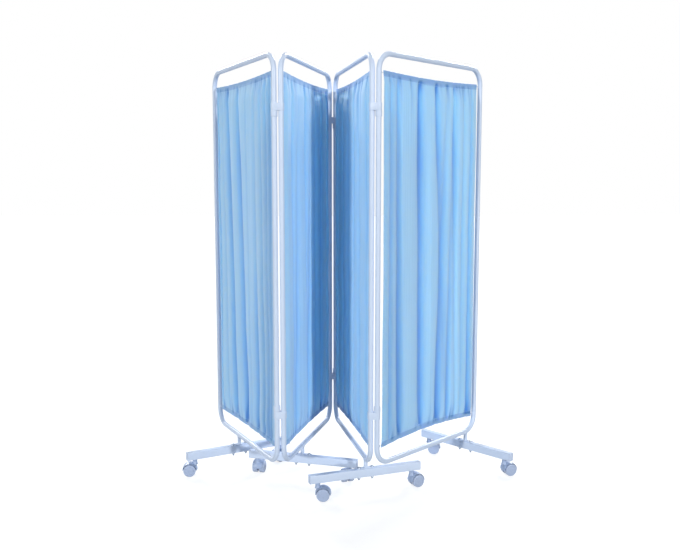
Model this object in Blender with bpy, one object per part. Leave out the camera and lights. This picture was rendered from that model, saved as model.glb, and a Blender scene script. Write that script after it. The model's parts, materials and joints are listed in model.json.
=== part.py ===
"""A four-panel folding ward screen: tube frames, gathered curtains on wires, strap hinges and feet on casters.

Metres, +Z up, standing on the floor at z = 0 with the middle of its footprint at the origin. The front is -Y.
A panel's own frame has X along the panel from its left upright, Y towards the back and Z up from the floor.
"""

import math

import bmesh
import bpy
from mathutils import Matrix, Vector

# Clearances
FIT_GAP = 0.0003          # between faces that touch
PIVOT_GAP = 0.0003        # round a tube inside a strap or a collar
BORE_GAP = 0.0005         # round a bolt, a stem or an axle
OVERRUN = 0.002           # how far a cutter passes the face that it cuts
WELD_SINK = 0.001         # how far welded pieces run into each other

# Panels
PANEL_WIDTH = 0.700       # between the centre lines of the two uprights
PANEL_HEIGHT = 1.700      # between the centre lines of the two rails
TUBE_R = 0.011
CORNER_R = 0.070          # centre line of the bent corners
CORNER_STEPS = 4
TUBE_SIDES = 12
HINGE_PITCH = 0.028       # between the centre lines of two neighbouring uprights
PANEL_HEADINGS_DEG = (-62.5, 73.5, -78.5, 44.5)
ROOT_PANEL = 1

# Strap hinges
STRAP_HEIGHT = 0.030
STRAP_WALL = 0.0020
COLLAR_HEIGHT = 0.024
COLLAR_WALL = 0.0025
STRAP_FROM_RAIL = 0.213   # from a rail's centre line to the strap's middle
RING_SIDES = 16
HINGES = ("12", "23", "34")
COLLAR_PANELS = (0, 2, 3)  # the panel of each pair that has the stop collars

# Curtain wires and their eyes
WIRE_R = 0.0009
WIRE_SIDES = 5
WIRE_BORE_R = 0.0014
WIRE_BORE_SIDES = 8
WIRE_FROM_RAIL = 0.077    # at the wire's ends, from the rail's centre line
WIRE_STEPS = 6
TOP_SAG = 0.009
BOTTOM_RISE = 0.008
PULLED_RISE = 0.020       # on the last panel, whose cloth is pulled up more
BOTTOM_RISES = (BOTTOM_RISE, BOTTOM_RISE, BOTTOM_RISE, PULLED_RISE)
EYE_R = 0.0040            # centre line of the eye's ring
EYE_WIRE_R = 0.0011
EYE_SIDES = 8
EYE_WIRE_SIDES = 5
HOOK_STEPS = 4
HOOK_TURN_DEG = (60, 250)
HOOK_LEAD = 0.0010

# Curtains
CLOTH_SIDE_GAP = 0.016    # from an upright's surface to the cloth's edge
CLOTH_T = 0.0016
HEM_T = 0.0020
POCKET_T = 0.0054         # the hem where it holds the wire
WIRE_TO_EDGE = 0.009      # from the wire up, or down, to the cloth's edge
HEM_DEPTH = 0.025
SHOULDER_DEPTH = 0.075    # from the edge to where the folds are full
FOLD_DEPTH = 0.0095       # each way from the panel's middle plane
EDGE_RIPPLE = 0.0015
HEM_RIPPLE = 0.0035
CLOTH_COLUMNS = 28
CLOTH_MIDDLE_SHARES = (0.25, 0.50, 0.75)
# Where each curtain's folds lie furthest back, as shares of its width from its left edge
FOLD_SHARES = (
    (0.05, 0.17, 0.30, 0.49, 0.68, 0.80, 0.91),
    (0.03, 0.15, 0.27, 0.41, 0.57, 0.78, 0.94),
    (0.06, 0.20, 0.34, 0.47, 0.60, 0.77, 0.92),
    (0.06, 0.17, 0.38, 0.59, 0.73, 0.85, 0.96),
)

# Feet
BAR_LENGTH = 0.510
BAR_WIDTH = 0.028
BAR_HEIGHT = 0.036
BAR_WALL = 0.0020
BAR_EDGE_R = 0.0030
POST_R = 0.0085
POST_HEIGHT = 0.032       # from the flange plate to the rail
PLATE_LENGTH = 0.086
PLATE_WIDTH = 0.022
PLATE_T = 0.003
# The posts stand at staggered places along the rails, so that the feet nest
FOOT_1_FROM_RIGHT = 0.443
FOOT_2_FROM_LEFT = 0.250
FOOT_3_FROM_RIGHT = 0.081
FOOT_4_FROM_RIGHT = 0.064
FOOT_ALONG = (
    PANEL_WIDTH - FOOT_1_FROM_RIGHT,
    FOOT_2_FROM_LEFT,
    PANEL_WIDTH - FOOT_3_FROM_RIGHT,
    PANEL_WIDTH - FOOT_4_FROM_RIGHT,
)
FOOT_TURN_DEG = (0.0, 0.0, 7.5, 0.0)

# Flange bolts with their nuts
BOLT_TO_PLATE_END = 0.012
BOLT_SPACING = PLATE_LENGTH - 2 * BOLT_TO_PLATE_END
BOLT_R = 0.0040
HEAD_R = 0.0085
HEAD_H = 0.0060
DOME_RADIUS_SHARE = 0.6   # where the head's dome bends over
DOME_HEIGHT_SHARE = 0.8
NUT_R = 0.0075
NUT_H = 0.0075
BOLT_TAIL = 0.0065
BOLT_SIDES = 8

# Casters
CASTER_HEIGHT = 0.076     # floor to the bar's underside
CASTER_INSET = 0.036      # from the bar's end to the stem
CASTER_TRAIL = 0.024
WHEEL_R = 0.028
WHEEL_WIDTH = 0.0225
WHEEL_EDGE = 0.0030
WHEEL_SIDES = 16
WHEELS_APART = 0.0085     # between the two wheels' inner faces
AXLE_R = 0.003
WEB_T = 0.0065
LUG_R = 0.011
HOOD_GAP = 0.0015
HOOD_T = 0.0022
HOOD_SIDES = 20
STEM_R = 0.0055
STEM_RISE = 0.018         # into the bar
BOSS_R = 0.0105
BOSS_SIDES = 12
BOSS_DROP = 0.025
# Which way each caster trails, as a heading in plan: front foot end, back foot end
CASTER_HEADINGS_DEG = ((185, 225), (110, 78), (355, 25), (18, 350))

# Heights that follow from the sizes above
BAR_BOTTOM = CASTER_HEIGHT
BAR_TOP = BAR_BOTTOM + BAR_HEIGHT
PLATE_BOTTOM = BAR_TOP + FIT_GAP
PLATE_TOP = PLATE_BOTTOM + PLATE_T
LOW_RAIL = PLATE_TOP + POST_HEIGHT + TUBE_R
TOP_RAIL = LOW_RAIL + PANEL_HEIGHT
AXLE_DROP = CASTER_HEIGHT - WHEEL_R

COATED_STEEL = ("coated_steel", (0.70, 0.76, 0.86, 1), 0.35, 0.0)
CLOTH = ("blue_cloth", (0.26, 0.50, 0.78, 1), 0.90, 0.0)
BRIGHT_STEEL = ("bright_steel", (0.62, 0.64, 0.67, 1), 0.30, 1.0)
NYLON = ("caster_nylon", (0.45, 0.51, 0.62, 1), 0.50, 0.0)
WHEEL_PLASTIC = ("wheel_plastic", (0.52, 0.60, 0.74, 1), 0.45, 0.0)


def clear_scene():
    for old in list(bpy.data.objects):
        bpy.data.objects.remove(old, do_unlink=True)


def material_of(name, finish):
    """Each object has a material of its own, from a shared finish."""
    base, colour, roughness, metallic = finish
    made = bpy.data.materials.new(f"{base}_{name}")
    made.use_nodes = True
    shader = made.node_tree.nodes["Principled BSDF"]
    shader.inputs["Base Color"].default_value = colour
    shader.inputs["Roughness"].default_value = roughness
    shader.inputs["Metallic"].default_value = metallic
    return made


def empty(name, parent, location, turn=0.0):
    made = bpy.data.objects.new(name, None)
    bpy.context.scene.collection.objects.link(made)
    made.parent = parent
    made.location = location
    made.rotation_euler = (0, 0, turn)
    return made


def piece(name, mesh, finish, parent, location=(0, 0, 0), turn=0.0):
    """One named solid on its parent empty."""
    made = bpy.data.objects.new(name, mesh.copy())
    made.data.name = name
    made.data.materials.clear()
    made.data.materials.append(material_of(name, finish))
    made.data.shade_smooth()
    made.data.set_sharp_from_angle(angle=math.radians(32))
    bpy.context.scene.collection.objects.link(made)
    made.parent = parent
    made.location = location
    made.rotation_euler = (0, 0, turn)
    return made


def mesh_from(bm, name):
    bmesh.ops.recalc_face_normals(bm, faces=bm.faces)
    made = bpy.data.meshes.new(name)
    bm.to_mesh(made)
    bm.free()
    return made


def bridged(bm, first, second):
    """Faces between two rings of vertices, or between a ring and a single vertex."""
    count = max(len(first), len(second))
    for k in range(count):
        corners = [first[k % len(first)], first[(k + 1) % len(first)]]
        corners += [second[(k + 1) % len(second)], second[k % len(second)]]
        bm.faces.new(list(dict.fromkeys(corners)))


def turned(profile, sides, ring=False):
    """A profile of (radius, height) points turned about Z. A ring's profile closes on itself."""
    bm = bmesh.new()
    rows = []
    for radius, height in profile:
        if radius == 0:
            rows.append([bm.verts.new((0, 0, height))])
            continue
        angles = [2 * math.pi * (k + 0.5) / sides for k in range(sides)]
        rows.append([bm.verts.new((radius * math.cos(a), radius * math.sin(a), height)) for a in angles])
    for first, second in zip(rows, rows[1:]):
        bridged(bm, first, second)
    if ring:
        bridged(bm, rows[-1], rows[0])
    return mesh_from(bm, "turned")


def cylinder(radius, low, high, sides):
    return turned(((0, low), (radius, low), (radius, high), (0, high)), sides)


def swept(path, radius, sides, closed=False):
    """A round tube along (point, tangent) pairs, with its ends capped unless it closes on itself."""
    bm = bmesh.new()
    rings = []
    side = Vector((0, 1, 0))
    for point, tangent in path:
        side = (side - tangent * side.dot(tangent)).normalized()
        up = tangent.cross(side)
        angles = [2 * math.pi * (k + 0.5) / sides for k in range(sides)]
        ring = [point + (side * math.cos(a) + up * math.sin(a)) * radius for a in angles]
        rings.append([bm.verts.new(corner) for corner in ring])
    for first, second in zip(rings, rings[1:]):
        bridged(bm, first, second)
    if closed:
        bridged(bm, rings[-1], rings[0])
    else:
        bm.faces.new(rings[0])
        bm.faces.new(rings[-1])
    return mesh_from(bm, "swept")


def with_tangents(points):
    """Pairs of (point, tangent), each tangent taken from the two neighbours."""
    last = len(points) - 1
    pairs = []
    for k, point in enumerate(points):
        ahead, behind = points[min(k + 1, last)], points[max(k - 1, 0)]
        pairs.append((point, (ahead - behind).normalized()))
    return pairs


def box(low, high, edge_radius=0.0, along=1):
    """A box, with the edges along one axis rounded when it has an edge radius."""
    bm = bmesh.new()
    bmesh.ops.create_cube(bm, size=1)
    size = Vector(high) - Vector(low)
    bmesh.ops.scale(bm, vec=size, verts=bm.verts)
    bmesh.ops.translate(bm, vec=(Vector(high) + Vector(low)) / 2, verts=bm.verts)
    if edge_radius:
        edges = [e for e in bm.edges if abs((e.verts[0].co - e.verts[1].co).normalized()[along]) > 0.9]
        bmesh.ops.bevel(bm, geom=edges, offset=edge_radius, segments=2, profile=0.5, affect="EDGES")
    return mesh_from(bm, "box")


def moved(mesh, matrix):
    mesh.transform(matrix)
    return mesh


def combined(base, steps):
    """The mesh left after Boolean steps of (operation, mesh), as one new mesh."""
    target = bpy.data.objects.new("form", base)
    tools = []
    for operation, tool_mesh in steps:
        tool = bpy.data.objects.new("form_tool", tool_mesh)
        tools.append(tool)
        modifier = target.modifiers.new(operation, "BOOLEAN")
        modifier.operation = operation
        modifier.object = tool
    for made in (target, *tools):
        bpy.context.scene.collection.objects.link(made)
    bpy.context.view_layer.update()
    graph = bpy.context.evaluated_depsgraph_get()
    result = bpy.data.meshes.new_from_object(target.evaluated_get(graph), depsgraph=graph)
    for made in (target, *tools):
        bpy.data.objects.remove(made, do_unlink=True)
    return result


def bore_r(radius, gap, sides):
    """A faceted bore's corner radius, so that its flats clear a round piece by the gap."""
    return (radius + gap) / math.cos(math.pi / sides)


def frame_path():
    """The frame's centre line, a rounded rectangle in the panel's own frame."""
    corners = (
        (PANEL_WIDTH - CORNER_R, LOW_RAIL + CORNER_R, -90),
        (PANEL_WIDTH - CORNER_R, TOP_RAIL - CORNER_R, 0),
        (CORNER_R, TOP_RAIL - CORNER_R, 90),
        (CORNER_R, LOW_RAIL + CORNER_R, 180),
    )
    path = []
    for x, z, start in corners:
        for k in range(CORNER_STEPS + 1):
            a = math.radians(start + 90 * k / CORNER_STEPS)
            point = Vector((x + CORNER_R * math.cos(a), 0, z + CORNER_R * math.sin(a)))
            path.append((point, Vector((-math.sin(a), 0, math.cos(a)))))
    return path


def eye_mesh(x, z):
    """The ring that a wire hooks into, standing in the panel's plane and sunk half into the tube."""
    path = []
    for k in range(EYE_SIDES):
        a = 2 * math.pi * k / EYE_SIDES
        point = Vector((x + EYE_R * math.cos(a), 0, z + EYE_R * math.sin(a)))
        path.append((point, Vector((-math.sin(a), 0, math.cos(a)))))
    return swept(path, EYE_WIRE_R, EYE_WIRE_SIDES, closed=True)


def wire_heights():
    return LOW_RAIL + WIRE_FROM_RAIL, TOP_RAIL - WIRE_FROM_RAIL


def foot_matrix(panel):
    turn = Matrix.Rotation(math.radians(FOOT_TURN_DEG[panel]), 4, "Z")
    return Matrix.Translation((FOOT_ALONG[panel], 0, 0)) @ turn


def frame_mesh(panel):
    """The bent tube with its four wire eyes, its foot post and the post's flange plate, welded into one."""
    tube = swept(frame_path(), TUBE_R, TUBE_SIDES, closed=True)
    plate = box((-PLATE_WIDTH / 2, -PLATE_LENGTH / 2, PLATE_BOTTOM), (PLATE_WIDTH / 2, PLATE_LENGTH / 2, PLATE_TOP))
    post = cylinder(POST_R, PLATE_BOTTOM + WELD_SINK, LOW_RAIL, TUBE_SIDES)
    steps = [("UNION", moved(plate, foot_matrix(panel))), ("UNION", moved(post, foot_matrix(panel)))]
    for x in (TUBE_R + EYE_R, PANEL_WIDTH - TUBE_R - EYE_R):
        for z in wire_heights():
            steps.append(("UNION", eye_mesh(x, z)))
    radius = bore_r(BOLT_R, BORE_GAP, TUBE_SIDES)
    for y in (-BOLT_SPACING / 2, BOLT_SPACING / 2):
        hole = cylinder(radius, PLATE_BOTTOM - OVERRUN, PLATE_TOP + OVERRUN, TUBE_SIDES)
        steps.append(("DIFFERENCE", moved(hole, foot_matrix(panel) @ Matrix.Translation((0, y, 0)))))
    return combined(tube, steps)


def cloth_left():
    return TUBE_R + CLOTH_SIDE_GAP


def cloth_width():
    return PANEL_WIDTH - 2 * cloth_left()


def wire_height(panel, at_top, x):
    """A wire's height at x: the top one sags, and the cloth pulls the bottom one up."""
    share = (x - cloth_left()) / cloth_width()
    bow = 4 * share * (1 - share)
    low, high = wire_heights()
    return high - TOP_SAG * bow if at_top else low + BOTTOM_RISES[panel] * bow


def wire_run(panel, at_top):
    """Points along the part of a wire that lies in the hem."""
    steps = [cloth_left() + cloth_width() * k / WIRE_STEPS for k in range(WIRE_STEPS + 1)]
    return [Vector((x, 0, wire_height(panel, at_top, x))) for x in steps]


def hook_points(mirrored, height):
    """A wire's end, from the cloth outwards: beside the eye's rim, then through the eye."""
    rim = TUBE_R + 2 * EYE_R
    bend = EYE_WIRE_R + FIT_GAP + WIRE_R
    start, end = HOOK_TURN_DEG
    lead = rim + bend / math.cos(math.radians(start)) + HOOK_LEAD
    points = [Vector((lead, 0, height))]
    for k in range(HOOK_STEPS + 1):
        a = math.radians(start + (end - start) * k / HOOK_STEPS)
        points.append(Vector((rim + bend * math.cos(a), bend * math.sin(a), height)))
    if mirrored:
        points = [Vector((PANEL_WIDTH - p.x, p.y, p.z)) for p in points]
    return points


def wire_mesh(panel, at_top):
    height = wire_heights()[at_top]
    left = hook_points(False, height)[::-1]
    right = hook_points(True, height)
    return swept(with_tangents(left + wire_run(panel, at_top) + right), WIRE_R, WIRE_SIDES)


def fold_offset(panel, share):
    """How far a fold lies from the middle plane, from -1 at the back of a fold to 1 at its front."""
    places = FOLD_SHARES[panel]
    places = (2 * places[0] - places[1], *places, 2 * places[-1] - places[-2])
    for low, high in zip(places, places[1:]):
        if low <= share <= high:
            return -math.cos(2 * math.pi * (share - low) / (high - low))
    return -1.0


def cloth_rows(panel, x):
    """(height, fold depth, thickness) for each row of a curtain at x, from the bottom up."""
    low = wire_height(panel, False, x) - WIRE_TO_EDGE
    high = wire_height(panel, True, x) + WIRE_TO_EDGE
    ends = (
        (0.0, EDGE_RIPPLE, HEM_T),
        (WIRE_TO_EDGE, 0.0, POCKET_T),
        (HEM_DEPTH, HEM_RIPPLE, HEM_T),
        (SHOULDER_DEPTH, FOLD_DEPTH, CLOTH_T),
    )
    rows = [(low + up, depth, thick) for up, depth, thick in ends]
    rows += [(low + (high - low) * share, FOLD_DEPTH, CLOTH_T) for share in CLOTH_MIDDLE_SHARES]
    rows += [(high - down, depth, thick) for down, depth, thick in reversed(ends)]
    return rows


def cloth_sheet(panel):
    """The gathered curtain as one closed sheet with its main folds."""
    bm = bmesh.new()
    sides = []
    for face in (-0.5, 0.5):
        grid = []
        for k in range(CLOTH_COLUMNS + 1):
            share = k / CLOTH_COLUMNS
            x = cloth_left() + cloth_width() * share
            fold = fold_offset(panel, share)
            rows = cloth_rows(panel, x)
            # The front of a fold is towards -Y
            grid.append([bm.verts.new((x, -fold * depth + face * thick, z)) for z, depth, thick in rows])
        sides.append(grid)
    for grid in sides:
        for left, right in zip(grid, grid[1:]):
            for k in range(len(left) - 1):
                bm.faces.new((left[k], right[k], right[k + 1], left[k + 1]))
    front, back = sides
    rims = [
        (front[0], back[0]),
        (front[-1], back[-1]),
        ([column[0] for column in front], [column[0] for column in back]),
        ([column[-1] for column in front], [column[-1] for column in back]),
    ]
    for one, other in rims:
        for k in range(len(one) - 1):
            bm.faces.new((one[k], one[k + 1], other[k + 1], other[k]))
    return mesh_from(bm, "cloth")


def curtain_mesh(panel):
    """The sheet with a bore in each hem for its wire."""
    steps = []
    for at_top in (False, True):
        run = wire_run(panel, at_top)
        slope = (run[1] - run[0]).normalized() * OVERRUN
        slope_out = (run[-1] - run[-2]).normalized() * OVERRUN
        points = [run[0] - slope, *run[1:-1], run[-1] + slope_out]
        steps.append(("DIFFERENCE", swept(with_tangents(points), WIRE_BORE_R, WIRE_BORE_SIDES)))
    return combined(cloth_sheet(panel), steps)


def strap_mesh():
    """A figure-of-eight strap along +X from the first tube's centre line, with a bore for each tube."""
    outer = TUBE_R + PIVOT_GAP + STRAP_WALL
    half = RING_SIDES // 2
    bm = bmesh.new()
    outline = []
    for centre, start in ((HINGE_PITCH, -90), (0.0, 90)):
        for k in range(half + 1):
            a = math.radians(start + 180 * k / half)
            outline.append((centre + outer * math.cos(a), outer * math.sin(a)))
    low = [bm.verts.new((x, y, -STRAP_HEIGHT / 2)) for x, y in outline]
    high = [bm.verts.new((x, y, STRAP_HEIGHT / 2)) for x, y in outline]
    bridged(bm, low, high)
    bm.faces.new(low)
    bm.faces.new(high)
    radius = bore_r(TUBE_R, PIVOT_GAP, RING_SIDES)
    reach = STRAP_HEIGHT / 2 + OVERRUN
    steps = []
    for centre in (0.0, HINGE_PITCH):
        hole = cylinder(radius, -reach, reach, RING_SIDES)
        steps.append(("DIFFERENCE", moved(hole, Matrix.Translation((centre, 0, 0)))))
    return combined(mesh_from(bm, "strap"), steps)


def collar_mesh():
    inner = bore_r(TUBE_R, PIVOT_GAP, RING_SIDES)
    outer = TUBE_R + PIVOT_GAP + COLLAR_WALL
    half = COLLAR_HEIGHT / 2
    return turned(((inner, -half), (outer, -half), (outer, half), (inner, half)), RING_SIDES, ring=True)


def bar_mesh():
    """The foot's rectangular tube, open at its ends, with holes for two stems and two bolts."""
    half_w, half_l = BAR_WIDTH / 2, BAR_LENGTH / 2
    shell = box((-half_w, -half_l, BAR_BOTTOM), (half_w, half_l, BAR_TOP), BAR_EDGE_R)
    inside = box(
        (BAR_WALL - half_w, -half_l - OVERRUN, BAR_BOTTOM + BAR_WALL),
        (half_w - BAR_WALL, half_l + OVERRUN, BAR_TOP - BAR_WALL),
    )
    steps = [("DIFFERENCE", inside)]
    stem_hole, bolt_hole = (bore_r(radius, BORE_GAP, BOSS_SIDES) for radius in (STEM_R, BOLT_R))
    for y in (-half_l + CASTER_INSET, half_l - CASTER_INSET):
        hole = cylinder(stem_hole, BAR_BOTTOM - OVERRUN, BAR_BOTTOM + BAR_WALL + OVERRUN, BOSS_SIDES)
        steps.append(("DIFFERENCE", moved(hole, Matrix.Translation((0, y, 0)))))
    for y in (-BOLT_SPACING / 2, BOLT_SPACING / 2):
        hole = cylinder(bolt_hole, BAR_BOTTOM - OVERRUN, BAR_TOP + OVERRUN, BOSS_SIDES)
        steps.append(("DIFFERENCE", moved(hole, Matrix.Translation((0, y, 0)))))
    return combined(shell, steps)


def bolt_mesh():
    """A domed bolt down through the flange plate and the bar, with its nut below."""
    under_head = PLATE_TOP + FIT_GAP
    nut_top = BAR_BOTTOM - FIT_GAP
    profile = (
        (0, under_head + HEAD_H),
        (HEAD_R * DOME_RADIUS_SHARE, under_head + HEAD_H * DOME_HEIGHT_SHARE),
        (HEAD_R, under_head),
        (BOLT_R, under_head),
        (BOLT_R, nut_top),
        (NUT_R, nut_top),
        (NUT_R, nut_top - NUT_H),
        (BOLT_R, nut_top - NUT_H),
        (BOLT_R, nut_top - NUT_H - BOLT_TAIL),
        (0, nut_top - NUT_H - BOLT_TAIL),
    )
    return turned(profile, BOLT_SIDES)


def caster_mesh():
    """The hood, web, boss and stem in one, with the stem on Z, the bar's underside at 0 and the axle towards +X."""
    half = WHEELS_APART / 2 + WHEEL_WIDTH
    inner = WHEEL_R + HOOD_GAP
    axle = Matrix.Translation((CASTER_TRAIL, 0, -AXLE_DROP)) @ Matrix.Rotation(math.pi / 2, 4, "X")
    hood = cylinder(inner + HOOD_T, -half, half, HOOD_SIDES)
    below = box((-2 * inner, -2 * inner, -half - OVERRUN), (2 * inner, 0, half + OVERRUN))
    hood = combined(hood, [("DIFFERENCE", below)])
    boss = cylinder(BOSS_R, -BOSS_DROP, -FIT_GAP, BOSS_SIDES)
    stem = cylinder(STEM_R, -FIT_GAP - WELD_SINK, STEM_RISE, BOSS_SIDES)
    lug_half = WHEELS_APART / 2 - FIT_GAP
    lug = moved(cylinder(LUG_R, -lug_half, lug_half, BOSS_SIDES), axle)
    steps = [("UNION", boss), ("UNION", stem)]
    for low, high in ((WEB_T / 2, half + OVERRUN), (-half - OVERRUN, -WEB_T / 2)):
        steps.append(("DIFFERENCE", moved(cylinder(inner, low, high, HOOD_SIDES), axle)))
    steps.append(("UNION", lug))
    bore = cylinder(bore_r(AXLE_R, BORE_GAP, BOSS_SIDES), -lug_half - OVERRUN, lug_half + OVERRUN, BOSS_SIDES)
    steps.append(("DIFFERENCE", moved(bore, axle)))
    return combined(moved(hood, axle), steps)


def wheels_mesh():
    """Two wheels on one axle along Y, with a flat of the tread downwards."""
    flat_r = WHEEL_R / math.cos(math.pi / WHEEL_SIDES)
    inner, outer = WHEELS_APART / 2, WHEELS_APART / 2 + WHEEL_WIDTH
    half = (
        (0, outer),
        (flat_r - WHEEL_EDGE, outer),
        (flat_r, outer - WHEEL_EDGE),
        (flat_r, inner),
        (AXLE_R, inner),
    )
    profile = half + tuple((radius, -along) for radius, along in reversed(half))
    return moved(turned(profile, WHEEL_SIDES), Matrix.Rotation(math.pi / 2, 4, "X"))


def plan_places():
    """Each panel's left upright and heading in plan, and each strap's first tube and heading."""
    headings = [math.radians(degrees) for degrees in PANEL_HEADINGS_DEG]
    lefts, straps = [Vector((0, 0, 0))], []
    for heading, following in zip(headings, headings[1:]):
        right = lefts[-1] + Vector((math.cos(heading), math.sin(heading), 0)) * PANEL_WIDTH
        across = (heading + following) / 2
        straps.append((right, across))
        lefts.append(right + Vector((math.cos(across), math.sin(across), 0)) * HINGE_PITCH)
    return lefts, headings, straps


def build_foot(panel, on_panel, shared):
    """The bar, its bolts and its casters, on an empty at the post."""
    number = panel + 1
    turn = math.radians(FOOT_TURN_DEG[panel])
    foot = empty(f"foot_{number}", on_panel, on_panel_place(panel, FOOT_ALONG[panel]), turn)
    piece(f"foot_bar_{number}", shared["bar"], COATED_STEEL, foot)
    heading = math.radians(PANEL_HEADINGS_DEG[panel]) + turn
    ends = (("front", -1, CASTER_HEADINGS_DEG[panel][0]), ("back", 1, CASTER_HEADINGS_DEG[panel][1]))
    for name, side, trail_deg in ends:
        piece(f"flange_bolt_{name}_{number}", shared["bolt"], BRIGHT_STEEL, foot, (0, side * BOLT_SPACING / 2, 0))
        stem = (0, side * (BAR_LENGTH / 2 - CASTER_INSET), BAR_BOTTOM)
        swivel = empty(f"swivel_{name}_{number}", foot, stem, math.radians(trail_deg) - heading)
        piece(f"caster_{name}_{number}", shared["caster"], NYLON, swivel)
        piece(f"wheels_{name}_{number}", shared["wheels"], WHEEL_PLASTIC, swivel, (CASTER_TRAIL, 0, -AXLE_DROP))


def on_panel_place(panel, x):
    """A place along a panel, from the empty on the panel's own joint axis."""
    return (x - (PANEL_WIDTH if panel < ROOT_PANEL else 0), 0, 0)


def build_panel(panel, root, left, heading, shared):
    """One panel on an empty at its own joint axis: its right upright left of the root panel, else its left one."""
    number = panel + 1
    along = Vector((math.cos(heading), math.sin(heading), 0)) * (PANEL_WIDTH if panel < ROOT_PANEL else 0)
    axis = empty(f"panel_{number}", root, left + along, heading)
    place = on_panel_place(panel, 0)
    piece(f"frame_{number}", frame_mesh(panel), COATED_STEEL, axis, place)
    piece(f"curtain_{number}", curtain_mesh(panel), CLOTH, axis, place)
    for name, at_top in (("top", True), ("bottom", False)):
        piece(f"wire_{name}_{number}", wire_mesh(panel, at_top), BRIGHT_STEEL, axis, place)
    build_foot(panel, axis, shared)
    return axis


def build_hinge(index, root, place, heading, panel_axes, shared):
    """Two straps on their own empty, and the stop collars on one of the two panels."""
    pair = HINGES[index]
    strap_axis = empty(f"strap_axis_{pair}", root, place, heading)
    panel = COLLAR_PANELS[index]
    x = PANEL_WIDTH if panel == index else 0.0
    step = (STRAP_HEIGHT + COLLAR_HEIGHT) / 2 + FIT_GAP
    heights = (("top", TOP_RAIL - STRAP_FROM_RAIL, -step), ("bottom", LOW_RAIL + STRAP_FROM_RAIL, step))
    for name, height, collar_step in heights:
        piece(f"hinge_strap_{name}_{pair}", shared["strap"], COATED_STEEL, strap_axis, (0, 0, height))
        on_panel = Vector(on_panel_place(panel, x)) + Vector((0, 0, height + collar_step))
        piece(f"stop_collar_{name}_{pair}", shared["collar"], COATED_STEEL, panel_axes[panel], on_panel)


def centre_footprint(root):
    """Moves the whole screen so that its bounding box stands centred over the origin."""
    bpy.context.view_layer.update()
    solids = [obj for obj in bpy.data.objects if obj.type == "MESH"]
    points = [obj.matrix_world @ vertex.co for obj in solids for vertex in obj.data.vertices]
    for axis in (0, 1):
        values = [point[axis] for point in points]
        root.location[axis] -= (min(values) + max(values)) / 2
    bpy.context.view_layer.update()


def main():
    clear_scene()
    root = empty("screen", None, (0, 0, 0))
    shared = {
        "bar": bar_mesh(),
        "bolt": bolt_mesh(),
        "caster": caster_mesh(),
        "wheels": wheels_mesh(),
        "strap": strap_mesh(),
        "collar": collar_mesh(),
    }
    lefts, headings, straps = plan_places()
    axes = [build_panel(k, root, lefts[k], headings[k], shared) for k in range(len(headings))]
    for index, (place, heading) in enumerate(straps):
        build_hinge(index, root, place, heading, axes, shared)
    centre_footprint(root)


main()
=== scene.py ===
"""Dressed model of a four-panel folding ward screen.

Coated tube frames with curtains gathered on wires stand on foot bars with twin-wheel casters. Each class
holds the real sizes of one sub-assembly in metres and builds its pieces. A panel's own frame has X along the
panel from its left upright, Y towards the back and Z up from the floor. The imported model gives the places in
plan.
"""

import json
import logging
import math
from collections.abc import Iterable, Sequence
from dataclasses import dataclass
from enum import Enum
from functools import cached_property

import bmesh
import bpy
import numpy as np
from bmesh.types import BMEdge, BMesh, BMFace, BMVert
from bpy.types import ID, Material, Mesh, Node, NodeSocket, NodeTree, Object
from mathutils import Matrix, Vector


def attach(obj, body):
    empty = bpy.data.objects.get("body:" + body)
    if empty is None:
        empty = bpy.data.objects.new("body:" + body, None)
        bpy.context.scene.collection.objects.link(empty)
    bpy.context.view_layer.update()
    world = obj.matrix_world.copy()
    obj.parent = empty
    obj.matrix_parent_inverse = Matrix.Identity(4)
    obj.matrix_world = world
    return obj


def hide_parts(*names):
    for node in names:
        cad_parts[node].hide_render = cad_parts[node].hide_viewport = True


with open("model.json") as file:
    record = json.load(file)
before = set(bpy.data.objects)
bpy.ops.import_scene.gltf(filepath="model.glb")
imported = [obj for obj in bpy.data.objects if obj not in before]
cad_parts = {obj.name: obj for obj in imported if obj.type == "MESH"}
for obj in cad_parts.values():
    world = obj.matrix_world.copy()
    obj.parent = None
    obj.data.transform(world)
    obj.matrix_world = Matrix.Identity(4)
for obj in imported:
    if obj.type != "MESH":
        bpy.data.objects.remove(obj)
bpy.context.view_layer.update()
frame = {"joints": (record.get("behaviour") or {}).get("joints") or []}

LOG = logging.getLogger("ward_screen")
MM = 0.001
# Points closer than this are the same
MERGE = 1e-6
# A wave texture's bands lie this far apart at a scale of 1
WAVE_BAND = 0.314
# Lays a shape that was spun round Z along Y
ACROSS = Matrix.Rotation(math.pi / 2, 4, "X")
Outline = Sequence[tuple[float, float]]


def from_hex(code: str) -> tuple[float, float, float, float]:
    """Turns an sRGB hex colour into linear RGBA.

    Args:
        code: Six hex digits.

    Returns:
        The linear colour with an alpha of 1.
    """
    shares = [int(code[k : k + 2], 16) / 255 for k in (0, 2, 4)]
    linear = [c / 12.92 if c <= 0.04045 else ((c + 0.055) / 1.055) ** 2.4 for c in shares]
    return (*linear, 1.0)


def fill_node(tree: NodeTree, node: Node, settings: dict, links: dict) -> Node:
    """Gives a shader node its settings and links.

    Args:
        tree: The node tree.
        node: The node.
        settings: Values by attribute name, or by input name or number.
        links: Output sockets by the input that each feeds.

    Returns:
        The same node.
    """
    for key, value in settings.items():
        if isinstance(key, str) and hasattr(node, key):
            setattr(node, key, value)
        else:
            node.inputs[key].default_value = value
    for key, socket in links.items():
        tree.links.new(socket, node.inputs[key])
    return node


def add_node(tree: NodeTree, kind: str, settings: dict | None = None, links: dict | None = None) -> Node:
    """Adds a node by its Blender type, less ShaderNode, with settings and links as fill_node takes them."""
    return fill_node(tree, tree.nodes.new(f"ShaderNode{kind}"), settings or {}, links or {})


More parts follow.
